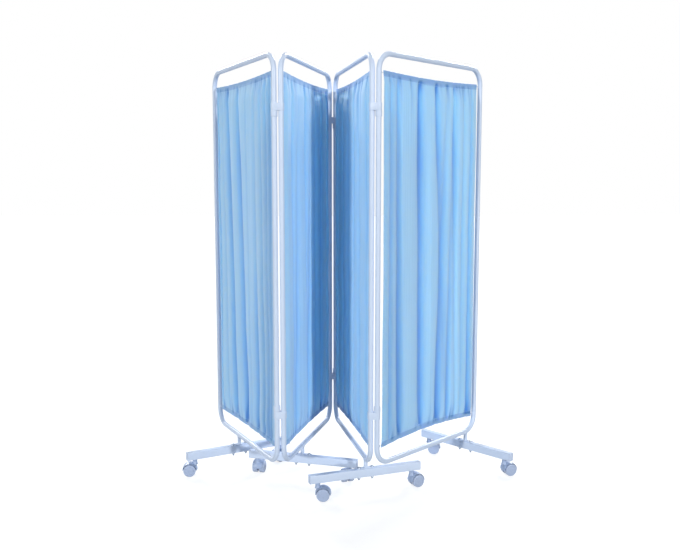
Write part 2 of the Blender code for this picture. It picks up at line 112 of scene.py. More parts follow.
def new_material(name: str) -> tuple[Material, NodeTree, Node]:
    """Makes a material.

    Args:
        name: The material's name.

    Returns:
        The material, its node tree and its Principled shader.
    """
    made = bpy.data.materials.new(name)
    made.use_nodes = True
    return made, made.node_tree, made.node_tree.nodes["Principled BSDF"]


@dataclass(frozen=True)
class HardFinish:
    """A hard surface whose tone, gloss and relief vary with fine noises in the object's own space.

    A cloud varies the tone and the gloss, and a grain makes the relief. Each is a size in millimetres and a
    level of detail. A tone or gloss that doesn't vary is set on the shader itself.
    """

    name: str = ""
    colour: str = ""
    shade: str = ""
    roughness: float = 0.4
    roughness_steps: tuple[float, float] | None = None
    cloud: tuple[float, float] = (4.0, 2.0)
    grain: tuple[float, float] = (1.2, 2.0)
    grain_height_mm: float = 0.0
    grain_strength: float = 0.5
    ior: float = 1.5
    metallic: float = 0.0

    def build(self) -> Material:
        """Makes the material.

        Returns:
            The finished material.
        """
        made, tree, shader = new_material(self.name)
        place = add_node(tree, "TexCoord").outputs["Object"]
        cloud, grain = (
            {"Scale": 1 / (size_mm * MM), "Detail": detail} for size_mm, detail in (self.cloud, self.grain)
        )
        spread = add_node(tree, "TexNoise", cloud, {"Vector": place}).outputs["Fac"]
        settings = {"Roughness": self.roughness, "IOR": self.ior, "Metallic": self.metallic}
        settings["Base Color"] = from_hex(self.colour)
        links = {}
        if self.shade:
            colours = {"data_type": "RGBA", 6: from_hex(self.colour), 7: from_hex(self.shade)}
            links["Base Color"] = add_node(tree, "Mix", colours, {0: spread}).outputs[2]
        if self.grain_height_mm:
            bumps = add_node(tree, "TexNoise", grain, {"Vector": place}).outputs["Fac"]
            relief = {"Strength": self.grain_strength, "Distance": self.grain_height_mm * MM}
            links["Normal"] = add_node(tree, "Bump", relief, {"Height": bumps}).outputs["Normal"]
        if self.roughness_steps:
            least, most = (self.roughness + step for step in self.roughness_steps)
            gloss = add_node(tree, "MapRange", {"To Min": least, "To Max": most}, {"Value": spread})
            links["Roughness"] = gloss.outputs["Result"]
        fill_node(tree, shader, settings, links)
        return made


@dataclass(frozen=True)
class PowderCoat(HardFinish):
    """Pale blue powder coat on steel: satin, with the faint orange peel of a baked coat."""

    name: str = "powder_coated_steel"
    colour: str = "CFDDF1"
    shade: str = "C6D5EC"
    roughness: float = 0.36
    roughness_steps: tuple[float, float] | None = (-0.05, 0.08)
    cloud: tuple[float, float] = (90.0, 3.0)
    grain: tuple[float, float] = (2.2, 1.0)
    grain_height_mm: float = 0.02


@dataclass(frozen=True)
class MouldedNylon(HardFinish):
    """Injection-moulded grey-blue nylon: satin from a fine spark-eroded mould."""

    roughness: float = 0.42
    cloud: tuple[float, float] = (1.2, 2.0)
    grain_height_mm: float = 0.02
    grain_strength: float = 0.4
    ior: float = 1.53


@dataclass(frozen=True)
class ZincPlate(HardFinish):
    """Bright zinc plate on steel: a clear metal shine with a little cloudiness."""

    roughness_steps: tuple[float, float] | None = (-0.06, 0.10)
    metallic: float = 1.0


@dataclass(frozen=True)
class PlainWeave:
    """Light blue plain weave of polyester and cotton: matt, with a soft sheen and faint warp streaks."""

    name: str = "woven_blue_cloth"
    colour: str = "B1D3F4"
    # Painted shade: where folded layers crowd behind one another, less light passes, so the folds, tucks and
    # hem are darkened towards this colour
    painted_fold_shade: str = "6093CA"
    slub: str = "A7CBF0"
    stitch: str = "B4D6F2"
    roughness: float = 0.85
    # Real threads lie 0.4 mm apart. They are drawn coarser here, so that the weave can show
    thread_mm: float = 1.1
    thread_height_mm: float = 0.09
    slub_mm: float = 2.5
    slub_run_mm: float = 160.0
    # How far stitches and slubs rise, in thread heights
    stitch_rise: float = 3.0
    slub_rise: float = 2.0
    hung_height: float = 1.564
    hem_mm: float = 25.0
    stitch_mm: float = 4.0
    stitch_share: float = 0.7
    stitch_width_mm: float = 0.9
    # How much of the light passes through the thin cloth, and how far it spreads inside
    glow: float = 1.0
    glow_reach: tuple[float, float, float] = (0.8, 1.0, 1.2)
    glow_mm: float = 2.4

    def stitch_mask(self, tree: NodeTree, place: NodeSocket) -> NodeSocket:
        """Adds the dashes of the two hem seams.

        Args:
            tree: The material's tree.
            place: The cloth's own coordinates in metres.

        Returns:
            A socket that is 1 on a stitch.
        """
        across, up = add_node(tree, "SeparateXYZ", {}, {0: place}).outputs[:2]
        steps = add_node(tree, "Math", {"operation": "MULTIPLY", 1: 1 / (self.stitch_mm * MM)}, {0: across})
        run = add_node(tree, "Math", {"operation": "FRACT"}, {0: steps.outputs[0]})
        dash = add_node(tree, "Math", {"operation": "LESS_THAN", 1: self.stitch_share}, {0: run.outputs[0]})
        half, hem = self.stitch_width_mm * MM / 2, self.hem_mm * MM
        low, high = (
            add_node(tree, "Math", {"operation": "COMPARE", 1: height, 2: half}, {0: up}).outputs[0]
            for height in (hem, self.hung_height - hem)
        )
        seams = add_node(tree, "Math", {"operation": "ADD"}, {0: low, 1: high})
        links = {0: seams.outputs[0], 1: dash.outputs[0]}
        return add_node(tree, "Math", {"operation": "MULTIPLY"}, links).outputs[0]

    def build(self) -> Material:
        """Makes the material.

        Returns:
            The finished material.
        """
        made, tree, shader = new_material(self.name)
        place = add_node(tree, "UVMap").outputs["UV"]
        drawn = {"Scale": (1 / (self.slub_mm * MM), 1 / (self.slub_run_mm * MM), 1.0)}
        run = add_node(tree, "Mapping", drawn, {"Vector": place}).outputs[0]
        slubs = add_node(tree, "TexNoise", {"Scale": 1.0, "Detail": 3.0}, {"Vector": run}).outputs["Fac"]
        # Painted shade: how far each point is darkened for the folds, tucks and hem
        painted_shade = add_node(tree, "Attribute", {"attribute_name": "painted_shade"}).outputs["Fac"]
        stitches = self.stitch_mask(tree, place)
        colours = {"data_type": "RGBA", 6: from_hex(self.colour), 7: from_hex(self.slub)}
        tone = add_node(tree, "Mix", colours, {0: slubs}).outputs[2]
        # Paints the shade of the folds, tucks and hem, then the stitches, over the cloth's tone
        for share, code in ((painted_shade, self.painted_fold_shade), (stitches, self.stitch)):
            colours = {"data_type": "RGBA", 7: from_hex(code)}
            tone = add_node(tree, "Mix", colours, {0: share, 6: tone}).outputs[2]
        threads = [{"bands_direction": way, "Scale": WAVE_BAND / (self.thread_mm * MM)} for way in "XY"]
        warp, weft = (add_node(tree, "TexWave", run, {"Vector": place}).outputs["Fac"] for run in threads)
        height = add_node(tree, "Math", {"operation": "ADD"}, {0: warp, 1: weft}).outputs[0]
        for rise, source in ((self.stitch_rise, stitches), (self.slub_rise, slubs)):
            raised = {"operation": "MULTIPLY_ADD", 1: rise}
            height = add_node(tree, "Math", raised, {0: source, 2: height}).outputs[0]
        relief = {"Strength": 0.5, "Distance": self.thread_height_mm * MM}
        bump = add_node(tree, "Bump", relief, {"Height": height})
        settings = {
            "Roughness": self.roughness,
            "Specular IOR Level": 0.25,
            "Sheen Weight": 0.15,
            "Sheen Roughness": 0.5,
            "Subsurface Weight": self.glow,
            "Subsurface Radius": self.glow_reach,
            "Subsurface Scale": self.glow_mm * MM,
        }
        fill_node(tree, shader, settings, {"Base Color": tone, "Normal": bump.outputs["Normal"]})
        return made


class Finish(Enum):
    """The finishes on the screen, each with the record's slot that it stands for."""

    COAT = (PowderCoat(), "coated_steel")
    CLOTH = (PlainWeave(), "blue_cloth")
    HOOD = (MouldedNylon("hood_nylon", "A3B5D3", "9BAECE"), "caster_nylon")
    WHEEL = (MouldedNylon("wheel_nylon", "ACBBD6", "A5B5D2", 0.36), "wheel_plastic")
    PLUG = (MouldedNylon("plug_polythene", "CCDAF0", "C4D3EC", 0.5), "coated_steel")
    ZINC = (ZincPlate("zinc_plated_steel", "AEB8C6", roughness=0.34), "bright_steel")
    WIRE = (ZincPlate("drawn_steel_wire", "C4CBD6", roughness=0.28), "bright_steel")

    @cached_property
    def material(self) -> Material:
        """The finish's material, built once."""
        return self.value[0].build()

    @property
    def slot(self) -> str:
        """The record's material slot."""
        return self.value[1]


def to_mesh(bm: BMesh, name: str) -> Mesh:
    """Turns a bmesh into a mesh.

    Args:
        bm: The shape, which is used up.
        name: The mesh's name.

    Returns:
        The new mesh.
    """
    mesh = bpy.data.meshes.new(name)
    bm.to_mesh(mesh)
    bm.free()
    return mesh


def add_object(data: ID) -> Object:
    """Adds an object to the scene.

    Args:
        data: Its mesh, lamp or camera, whose name it takes.

    Returns:
        The new object, at the origin.
    """
    made = bpy.data.objects.new(data.name, data)
    bpy.context.scene.collection.objects.link(made)
    return made


def place_piece(
    name: str,
    bm: BMesh,
    finish: Finish,
    body: str,
    nodes: Iterable[str] = (),
    place: Matrix = Matrix.Identity(4),
    sharp_deg: float = 34.0,
) -> Object:
    """Turns a bmesh into a finished piece whose object sits at the origin.

    Args:
        name: The piece's name.
        bm: The shape, which is used up.
        finish: What it is made of.
        body: The body that it rides on.
        nodes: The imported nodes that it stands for.
        place: The matrix from the shape's own frame to the screen's.
        sharp_deg: Edges that turn more than this stay sharp.

    Returns:
        The new object.
    """
    bmesh.ops.transform(bm, matrix=place, verts=bm.verts)
    bmesh.ops.recalc_face_normals(bm, faces=bm.faces)
    mesh = to_mesh(bm, name)
    mesh.shade_smooth()
    mesh.set_sharp_from_angle(angle=math.radians(sharp_deg))
    return dress(mesh, finish, body, nodes)


def dress(mesh: Mesh, finish: Finish, body: str, nodes: Iterable[str]) -> Object:
    """Makes a piece of a mesh, gives it its finish and hangs it on its body.

    Args:
        mesh: The mesh, already in place and named as the piece.
        finish: What it is made of.
        body: The body that it rides on.
        nodes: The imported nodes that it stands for.

    Returns:
        The new object.
    """
    made = add_object(mesh)
    mesh.materials.append(finish.material)
    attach(made, body)
    if nodes:
        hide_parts(*nodes)
    LOG.info("%s rides on %s", made.name, body)
    return made


def only(items: Iterable, kind: type) -> list:
    """Returns the items of one kind out of those that an operator gives."""
    return [item for item in items if isinstance(item, kind)]


def edges_at(verts: Iterable[BMVert]) -> list[BMEdge]:
    """Returns the edges at some vertices, each once and always in the same order."""
    return list(dict.fromkeys(edge for vert in verts for edge in vert.link_edges))


def level_edges(edges: Iterable[BMEdge]) -> list[BMEdge]:
    """Returns those edges that lie level."""
    return [edge for edge in edges if abs(edge.verts[0].co.z - edge.verts[1].co.z) < MERGE]


def round_edges(bm: BMesh, edges: list[BMEdge], radius: float, segments: int) -> None:
    """Rounds edges.

    Args:
        bm: Their mesh.
        edges: The edges.
        radius: The rounding's radius.
        segments: How many steps it takes.
    """
    bmesh.ops.bevel(
        bm, geom=edges, offset=radius, segments=segments, profile=0.5, affect="EDGES", material=-1
    )


def stand_at(point: Vector, heading: float) -> Matrix:
    """Returns the matrix that stands a shape at a point, turned to a heading in plan."""
    return Matrix.Translation(point) @ Matrix.Rotation(heading, 4, "Z")


def section_frame(point: Vector, tangent: Vector, side: Vector) -> Matrix:
    """Places a pipe's section.

    Args:
        point: The section's centre.
        tangent: The way that the pipe runs there.
        side: A direction that isn't along it.

    Returns:
        The matrix that puts a circle in XY there, facing along the tangent.
    """
    across = (side - tangent * side.dot(tangent)).normalized()
    columns = Matrix((across, tangent.cross(across), tangent)).transposed()
    return Matrix.Translation(point) @ columns.to_4x4()


def add_pipe(
    bm: BMesh,
    path: Sequence[Vector],
    radius: float,
    sides: int,
    closed: bool = False,
    side: Vector = Vector((0, 1, 0)),
) -> None:
    """Sweeps a round section along a path.

    Args:
        bm: The mesh to add to.
        path: Points along the centre line.
        radius: The section's radius.
        sides: How many sides the section has.
        closed: Whether the path closes on itself.
        side: A direction that is never along the path.
    """
    count = len(path)
    frames = []
    for k, point in enumerate(path):
        ahead = path[(k + 1) % count] if closed else path[min(k + 1, count - 1)]
        behind = path[k - 1] if closed else path[max(k - 1, 0)]
        frames.append(section_frame(point, (ahead - behind).normalized(), side))
    ring = bmesh.ops.create_circle(bm, segments=sides, radius=radius, matrix=frames[0])["verts"]
    first = edges = edges_at(ring)
    for before, after in zip(frames, frames[1:]):
        grown = bmesh.ops.extrude_edge_only(bm, edges=edges)["geom"]
        verts = only(grown, BMVert)
        members = set(verts)
        edges = [edge for edge in only(grown, BMEdge) if members.issuperset(edge.verts)]
        bmesh.ops.transform(bm, matrix=after @ before.inverted(), verts=verts)
    if closed:
        bmesh.ops.bridge_loops(bm, edges=first + edges)
    else:
        bmesh.ops.contextual_create(bm, geom=first)
        bmesh.ops.contextual_create(bm, geom=edges)


def add_turned(
    bm: BMesh, profile: Outline, steps: int, place: Matrix = Matrix.Identity(4), looped: bool = False
) -> None:
    """Spins a profile round Z.

    Args:
        bm: The mesh to add to.
        profile: (radius, height) points.
        steps: How many steps the full turn takes.
        place: Where the turned shape goes.
        looped: Whether the profile closes on itself, as a ring's does.
    """
    before = set(bm.verts)
    verts = [bm.verts.new((radius, 0, height)) for radius, height in profile]
    pairs = list(zip(verts, verts[1:])) + ([(verts[-1], verts[0])] if looped else [])
    edges = [bm.edges.new(pair) for pair in pairs]
    bmesh.ops.spin(
        bm, geom=verts + edges, cent=(0, 0, 0), axis=(0, 0, 1), angle=2 * math.pi, steps=steps, use_merge=True
    )
    bmesh.ops.remove_doubles(bm, verts=[vert for vert in bm.verts if vert not in before], dist=MERGE)
    bmesh.ops.transform(bm, matrix=place, verts=[vert for vert in bm.verts if vert not in before])


def add_box(
    bm: BMesh,
    low: Sequence[float],
    high: Sequence[float],
    radius: float,
    segments: int,
    along: int | None = None,
) -> None:
    """Adds a box with rounded edges.

    Args:
        bm: The mesh to add to.
        low: Its lowest corner.
        high: Its highest corner.
        radius: The radius of its edges.
        segments: How many steps each rounding takes.
        along: Rounds only the edges along this axis.
    """
    verts = bmesh.ops.create_cube(bm, size=1)["verts"]
    bmesh.ops.scale(bm, vec=Vector(high) - Vector(low), verts=verts)
    bmesh.ops.translate(bm, vec=(Vector(high) + Vector(low)) / 2, verts=verts)
    edges = edges_at(verts)
    if along is not None:
        edges = [e for e in edges if abs((e.verts[0].co - e.verts[1].co).normalized()[along]) > 0.9]
    round_edges(bm, edges, radius, segments)


@dataclass(frozen=True, kw_only=True)
class PanelSizes:
    """The sizes that the frames, the curtains and the hinges share."""

    width: float = 0.700
    low_rail: float = 0.1583
    top_rail: float = 1.8583
    tube_r: float = 0.011
    wire_from_rail: float = 0.077
    eye_r: float = 0.0040
    eye_wire_r: float = 0.0011


@dataclass(frozen=True)
class PanelPlan:
    """Where one panel stands in plan."""

    number: int
    left: Vector
    heading: float

    @property
    def body(self) -> str:
        """The panel's body."""
        return f"panel_{self.number}"

    @cached_property
    def place(self) -> Matrix:
        """The matrix from the panel's own frame to the screen's."""
        return stand_at(self.left, self.heading)


@dataclass(frozen=True)
class Plan(PanelSizes):
    """The screen's plan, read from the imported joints."""

    headings_deg: tuple[float, ...] = (-62.5, 73.5, -78.5, 44.5)
    # Each hinge's pair of panels, then which of its joints is on the left panel's tube, and on the right's
    hinges: tuple[tuple[str, str, str], ...] = (
        ("12", "outer", "inner"),
        ("23", "inner", "outer"),
        ("34", "inner", "outer"),
    )

    @staticmethod
    def spot(name: str) -> Vector:
        """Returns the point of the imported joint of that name."""
        return Vector(next(joint for joint in frame["joints"] if joint["name"] == name)["pos_m"])

    def panels(self) -> list[PanelPlan]:
        """Works out where the panels stand.

        Returns:
            The four panels, from the left.
        """
        turns = [math.radians(degrees) for degrees in self.headings_deg]
        along_first = Vector((math.cos(turns[0]), math.sin(turns[0]), 0))
        lefts = [self.spot("fold_12_outer") - along_first * self.width]
        lefts += [self.spot(name) for name in ("fold_12_inner", "fold_23_outer", "fold_34_outer")]
        return [PanelPlan(k + 1, left, turn) for k, (left, turn) in enumerate(zip(lefts, turns))]

    def straps(self) -> list[tuple[str, Vector, float]]:
        """Works out where the straps go.

        Returns:
            Each hinge's pair, its left tube's axis, and the way to the other tube in plan.
        """
        found = []
        for pair, first, second in self.hinges:
            start, end = self.spot(f"fold_{pair}_{first}"), self.spot(f"fold_{pair}_{second}")
            found.append((pair, start, math.atan2(end.y - start.y, end.x - start.x)))
        return found


@dataclass(frozen=True)
class TubeFrame(PanelSizes):
    """One bent tube frame with its welded foot post, flange plate and wire eyes."""

    plan: PanelPlan
    foot: Matrix
    corner_r: float = 0.070
    corner_steps: int = 14
    tube_sides: int = 32
    post_r: float = 0.0085
    post_sides: int = 32
    weld_r: float = 0.0032
    # The post's weld beads, in weld sizes out from the post and up, on the plate and under the rail
    low_bead: Outline = ((1.0, 0.25), (0.5, 0.7), (0.0, 1.3))
    high_bead: Outline = ((0.0, -0.9), (0.3, -0.1), (0.35, 1.0))
    plate_low: float = 0.1123
    plate_t: float = 0.003
    plate_length: float = 0.086
    plate_width: float = 0.022
    plate_corner: float = 0.006
    plate_edge: float = 0.0007
    eye_sides: int = 12
    # An eye's weld: how far out it sits in eye radii, and its size in wire radii
    eye_weld_out: float = 0.85
    eye_weld_times: float = 1.9

    def loop(self) -> list[Vector]:
        """Works out the tube's centre line.

        Returns:
            Its points, once round.
        """
        near, far = self.corner_r, self.width - self.corner_r
        low, high = self.low_rail + self.corner_r, self.top_rail - self.corner_r
        points = []
        for x, z, start in ((far, low, -90), (far, high, 0), (near, high, 90), (near, low, 180)):
            for k in range(self.corner_steps + 1):
                a = math.radians(start + 90 * k / self.corner_steps)
                points.append(Vector((x + self.corner_r * math.cos(a), 0, z + self.corner_r * math.sin(a))))
        return points

    def tube(self) -> None:
        """Makes the bent tube."""
        bm = bmesh.new()
        add_pipe(bm, self.loop(), self.tube_r, self.tube_sides, closed=True)
        number, body = self.plan.number, self.plan.body
        place_piece(f"bent_tube_{number}", bm, Finish.COAT, body, [f"frame_{number}"], self.plan.place)

    def post(self) -> None:
        """Makes the post with its weld beads."""
        top = self.plate_low + self.plate_t
        seat = top - self.plate_t / 2
        profile = [(0, seat), (self.post_r + self.weld_r, seat)]
        for height, bead in ((top, self.low_bead), (self.low_rail - self.tube_r, self.high_bead)):
            profile += [(self.post_r + self.weld_r * out, height + self.weld_r * up) for out, up in bead]
        bm = bmesh.new()
        add_turned(bm, [*profile, (0, self.low_rail)], self.post_sides)
        place_piece(f"foot_post_{self.plan.number}", bm, Finish.COAT, self.plan.body, (), self.foot)

    def plate(self) -> None:
        """Makes the flange plate."""
        half_w, half_l = self.plate_width / 2, self.plate_length / 2
        low, high = (-half_w, -half_l, self.plate_low), (half_w, half_l, self.plate_low + self.plate_t)
        bm = bmesh.new()
        add_box(bm, low, high, self.plate_corner, 6, along=2)
        round_edges(bm, level_edges(bm.edges), self.plate_edge, 2)
        place_piece(f"flange_plate_{self.plan.number}", bm, Finish.COAT, self.plan.body, (), self.foot)

    def eyes(self) -> None:
        """Makes the four small rings that the wires hook into, each with its weld."""
        turns = [2 * math.pi * k / (2 * self.eye_sides) for k in range(2 * self.eye_sides)]
        bm = bmesh.new()
        for x, way in ((self.tube_r + self.eye_r, -1), (self.width - self.tube_r - self.eye_r, 1)):
            for z in (self.low_rail + self.wire_from_rail, self.top_rail - self.wire_from_rail):
                path = [
                    Vector((x + self.eye_r * math.cos(a), 0, z + self.eye_r * math.sin(a))) for a in turns
                ]
                add_pipe(bm, path, self.eye_wire_r, self.eye_sides, closed=True)
                weld = Matrix.Translation((x + way * self.eye_r * self.eye_weld_out, 0, z))
                radius = self.eye_wire_r * self.eye_weld_times
                bmesh.ops.create_uvsphere(bm, u_segments=12, v_segments=8, radius=radius, matrix=weld)
        place_piece(f"wire_eyes_{self.plan.number}", bm, Finish.COAT, self.plan.body, (), self.plan.place)

    def build(self) -> None:
        """Makes every piece of the frame."""
        self.tube()
        self.post()
        self.plate()
        self.eyes()


@dataclass(frozen=True)
class Crease:
    """One fold down a curtain: its places and width as shares of the cloth's, and its depths going down."""

    top: float
    bottom: float
    depths: tuple[float, float, float]
    width: float


@dataclass(frozen=True)
class Ripple:
    """Fine waves all over a curtain: their height, their rates across and down it, and how they sway."""

    height: float
    across: float
    down: float
    sway: float
    sway_rate: float
    waves: int
    spread: float


def smooth_step(values: np.ndarray) -> np.ndarray:
    """Returns values held within 0 and 1, with an even start and end."""
    held = np.clip(values, 0, 1)
    return held * held * (3 - 2 * held)


def smooth_noise(rng: np.random.Generator, at: np.ndarray, waves: int, spread: float) -> np.ndarray:
    """Sums a few sines with fixed random rates and phases.

    Args:
        rng: The generator, from which the rates and then the phases are drawn.
        at: Where the noise is wanted.
        waves: How many sines there are.
        spread: How far their rates are from 1, as a factor.

    Returns:
        Values within about -1 to 1.
    """
    rates = rng.uniform(1 / spread, spread, waves)
    phases = rng.uniform(0, 2 * math.pi, waves)
    return sum(np.sin(at * rate + phase) for rate, phase in zip(rates, phases)) / math.sqrt(waves)


@dataclass(frozen=True)
class Curtain(PanelSizes):
    """One curtain gathered on its two wires."""

    plan: PanelPlan
    creases: tuple[Crease, ...]
    bottom_rise: float
    edge_shifts: tuple[float, float, float, float]
    seed: int
    flat_width: float = 0.735
    flat_length: float = 1.61
    side_gap: float = 0.016
    wire_to_edge: float = 0.009
    top_sag: float = 0.009
    hem: float = 0.025
    # The folds reach their full depth this far from the edge, and the wire holds the cloth this far from itself
    shoulder: float = 0.085
    wire_zone: float = 0.012
    fold_depth: float = 0.0125
    # Shares of that depth off the wire and past the shoulder, and what is added between the two
    depth_shares: tuple[float, float, float] = (0.06, 0.94, 0.18)
    # How far in front of the wires the cloth lies where it has no fold, as a share of that depth
    front_share: float = 0.9
    # How soon creases that run together stop adding up
    crowding: float = 1.6
    # A crease starts pinched at the hem and opens over this share of the height
    crease_opening: float = 0.22
    pinch_share: float = 0.4
    core_share: float = 0.75
    shoulder_times: float = 2.4
    # How far creases wander sideways, as a share of the width
    drift: float = 0.004
    # How much painted shade darkens a full fold and a hem
    fold_shade: float = 1.0
    fold_shade_power: float = 1.2
    hem_shade: float = 0.38
    # The painted shade for each metre that a tuck goes in
    tuck_shade: float = 280.0
    # A hem's tucks: how many, the ranges of their places, widths, reaches and depths, and how far in they start
    tucks: int = 26
    tuck_ranges: Sequence[tuple[float, float]] = ((0.01, 0.99), (0.006, 0.016), (0.02, 0.11), (0.0005, 0.0022))
    tuck_start: float = 0.006
    ripples: tuple[Ripple, ...] = (
        Ripple(0.0009, 46.0, 0.0, 0.8, 5.0, 4, 1.6),
        Ripple(0.00022, 240.0, 0.0, 1.2, 4.0, 5, 1.5),
        Ripple(0.0010, 5.0, 14.0, 0.0, 0.0, 3, 2.0),
    )
    hem_wave: float = 0.0008
    # Over this share of the width the side edges hang back to the plane of the frame
    edge_share: float = 0.05
    # Over this share of the height the wires hold the side edges in place
    held_share: float = 0.03
    cloth_t: float = 0.0009
    hem_t: float = 0.0014
    pocket_t: float = 0.0036
    wire_r: float = 0.0009
    wire_sides: int = 12
    wire_steps: int = 24
    # A hook bends round its eye's rim between these angles, from a point so many bend radii out
    hook_gap: float = 0.0003
    hook_deg: tuple[float, float] = (60, 250)
    hook_steps: int = 12
    hook_lead: float = 2.4
    columns: int = 260
    rows: int = 150
    row_power: float = 1.7

    @property
    def left(self) -> float:
        """Where the cloth starts along the panel."""
        return self.tube_r + self.side_gap

    @property
    def hung_height(self) -> float:
        """The hung cloth's height at its sides."""
        return self.top_rail - self.low_rail - 2 * (self.wire_from_rail - self.wire_to_edge)

    @property
    def span(self) -> float:
        """The hung cloth's width."""
        return self.width - 2 * self.left

    def wire_z(self, at_top: bool, share: np.ndarray | float) -> np.ndarray | float:
        """Works out how high a wire runs.

        Args:
            at_top: Whether it is the top wire.
            share: The share of the cloth's width, from the left.

        Returns:
            The wire's height there.
        """
        bow = 4 * share * (1 - share)
        if at_top:
            return self.top_rail - self.wire_from_rail - self.top_sag * bow
        return self.low_rail + self.wire_from_rail + self.bottom_rise * bow

    def fold_shape(self, share: np.ndarray, down: np.ndarray) -> np.ndarray:
        """Works out how far back the folds lie.

        Args:
            share: The share of the width, from the left.
            down: The share of the height, from the top.

        Returns:
            Values from 0 at the front of the folds to 1 at the back of the deepest.
        """
        total = np.zeros_like(share)
        upper, lower = np.clip(1 - 2 * down, 0, 1), np.clip(2 * down - 1, 0, 1)
        opening = np.clip(np.minimum(down, 1.1 - down) / self.crease_opening, 0, 1)
        for crease in self.creases:
            first, middle, last = crease.depths
            depth = first * upper + middle * (1 - upper - lower) + last * lower
            wide = crease.width * (self.pinch_share + (1 - self.pinch_share) * opening)
            off = (share - (crease.top + (crease.bottom - crease.top) * down)) / wide
            lobe = self.core_share * np.exp(-(off**2))
            lobe = lobe + (1 - self.core_share) * np.exp(-((off / self.shoulder_times) ** 2))
            total = total + depth * lobe
        return 1 - np.exp(-self.crowding * total)

    def gathers(self, share: np.ndarray, from_edge: np.ndarray, at_top: bool) -> np.ndarray:
        """Works out the small tucks beside a hem.

        Args:
            share: The share of the width, from the left.
            from_edge: The distance from the cloth's edge.
            at_top: Whether this is the top hem.

        Returns:
            How far back they go, in metres.
        """
        rng = np.random.default_rng(self.seed * 10 + at_top)
        start = np.clip((from_edge - self.tuck_start) / self.wire_zone, 0, 1)
        total = np.zeros_like(share)
        for _ in range(self.tucks):
            at, size, reach, depth = (rng.uniform(*limits) for limits in self.tuck_ranges)
            lobe = np.exp(-(((share - at) / size) ** 2))
            run = start * np.exp(-np.maximum(from_edge - self.hem, 0) / reach)
            total = total + depth * lobe * run
        return total

    def half_thickness(self, from_edge: np.ndarray) -> np.ndarray:
        """Works out half the cloth's thickness.

        Args:
            from_edge: The distance from its top or bottom edge.

        Returns:
            Half the thickness there, most where the hem's pocket holds the wire.
        """
        stops = (0.0, 0.003, self.wire_to_edge, 0.016, self.hem - 0.001, self.hem + 0.0015)
        sizes = (self.hem_t, self.hem_t * 1.6, self.pocket_t, self.hem_t * 1.4, self.hem_t, self.cloth_t)
        return np.interp(from_edge, stops, sizes) / 2

    def edge_shift(self, share: np.ndarray, down: np.ndarray) -> np.ndarray:
        """Works out how far points move sideways, so that the side edges hang in slight curves.

        Args:
            share: The share of the width, from the left.
            down: The share of the height, from the top.

        Returns:
            The move to the right, in metres.
        """
        left_top, left_low, right_top, right_low = self.edge_shifts
        held = np.clip(np.minimum(down, 1 - down) / self.held_share, 0, 1)
        left = (left_top + (left_low - left_top) * down) * held
        right = (right_top + (right_low - right_top) * down) * held
        return left * (1 - share) ** 3 - right * share**3

    def surface(self, share: np.ndarray, row: np.ndarray, back: np.ndarray) -> tuple[np.ndarray, ...]:
        """Places the cloth's points.

        Args:
            share: The share of the width, from the left.
            row: The share of the rows, from the bottom.
            back: 1 for the back face, 0 for the front face.

        Returns:
            The points in the panel's frame, their places on the flat cloth, and how much painted shade darkens
            each of them in the folds, the tucks and the hem.
        """
        rng = np.random.default_rng(self.seed)
        up = 0.5 * np.where(row < 0.5, (2 * row) ** self.row_power, 2 - (2 - 2 * row) ** self.row_power)
        down = 1 - up
        low = self.wire_z(False, share) - self.wire_to_edge
        high = self.wire_z(True, share) + self.wire_to_edge
        z = low + (high - low) * up
        from_edge = np.minimum(z - low, high - z)
        full = smooth_step((from_edge - self.wire_to_edge) / (self.shoulder - self.wire_to_edge))
        off_wire = np.clip(np.abs(from_edge - self.wire_to_edge) / self.wire_zone, 0, 1)
        beside, past, between = self.depth_shares
        depth = self.fold_depth * (beside * off_wire + past * full + between * off_wire * (1 - full))
        wander = self.drift * smooth_noise(rng, down * 6, waves=3, spread=2.0) * np.sin(math.pi * down)
        fold = self.fold_shape(share + wander, down)
        # Painted shade, deepest at the back of the folds and even along the hems
        shaded_fold = self.fold_shade * fold**self.fold_shade_power
        painted_shade = np.where(from_edge < self.hem, self.hem_shade, shaded_fold)
        inward = smooth_step(np.minimum(share, 1 - share) / self.edge_share)
        y = depth * (2 * fold - self.front_share) * inward
        for ripple in self.ripples:
            at = share * ripple.across + down * ripple.down + ripple.sway * np.sin(down * ripple.sway_rate)
            y = y + ripple.height * full * smooth_noise(rng, at, ripple.waves, ripple.spread)
        for at_top in (False, True):
            tucks = self.gathers(share, high - z if at_top else z - low, at_top)
            y = y + tucks
            # The tucks add painted shade too
            painted_shade = painted_shade + self.tuck_shade * tucks
        x = self.left + self.span * share + self.edge_shift(share, down)
        z = z + self.hem_wave * (1 - off_wire) * smooth_noise(rng, share * 90, waves=4, spread=1.8)
        y = y + (2 * back - 1) * self.half_thickness(from_edge)
        flat = np.stack((share * self.flat_width, up * self.hung_height), axis=-1)
        return np.stack((x, y, z), axis=-1), flat, painted_shade

    def grid(self, name: str) -> Mesh:
        """Makes the cloth's net while it is flat.

        Args:
            name: The mesh's name.

        Returns:
            Two square grids with a strip round them, the front one at a height of 0, the back one at 1.
        """
        bm = bmesh.new()
        bmesh.ops.create_grid(bm, x_segments=self.columns, y_segments=self.rows, size=1)
        copy = bmesh.ops.duplicate(bm, geom=bm.verts[:] + bm.edges[:] + bm.faces[:])["geom"]
        bmesh.ops.translate(bm, vec=(0, 0, 1), verts=only(copy, BMVert))
        bmesh.ops.reverse_faces(bm, faces=only(copy, BMFace))
        bmesh.ops.bridge_loops(bm, edges=[edge for edge in bm.edges if edge.is_boundary])
        return to_mesh(bm, name)

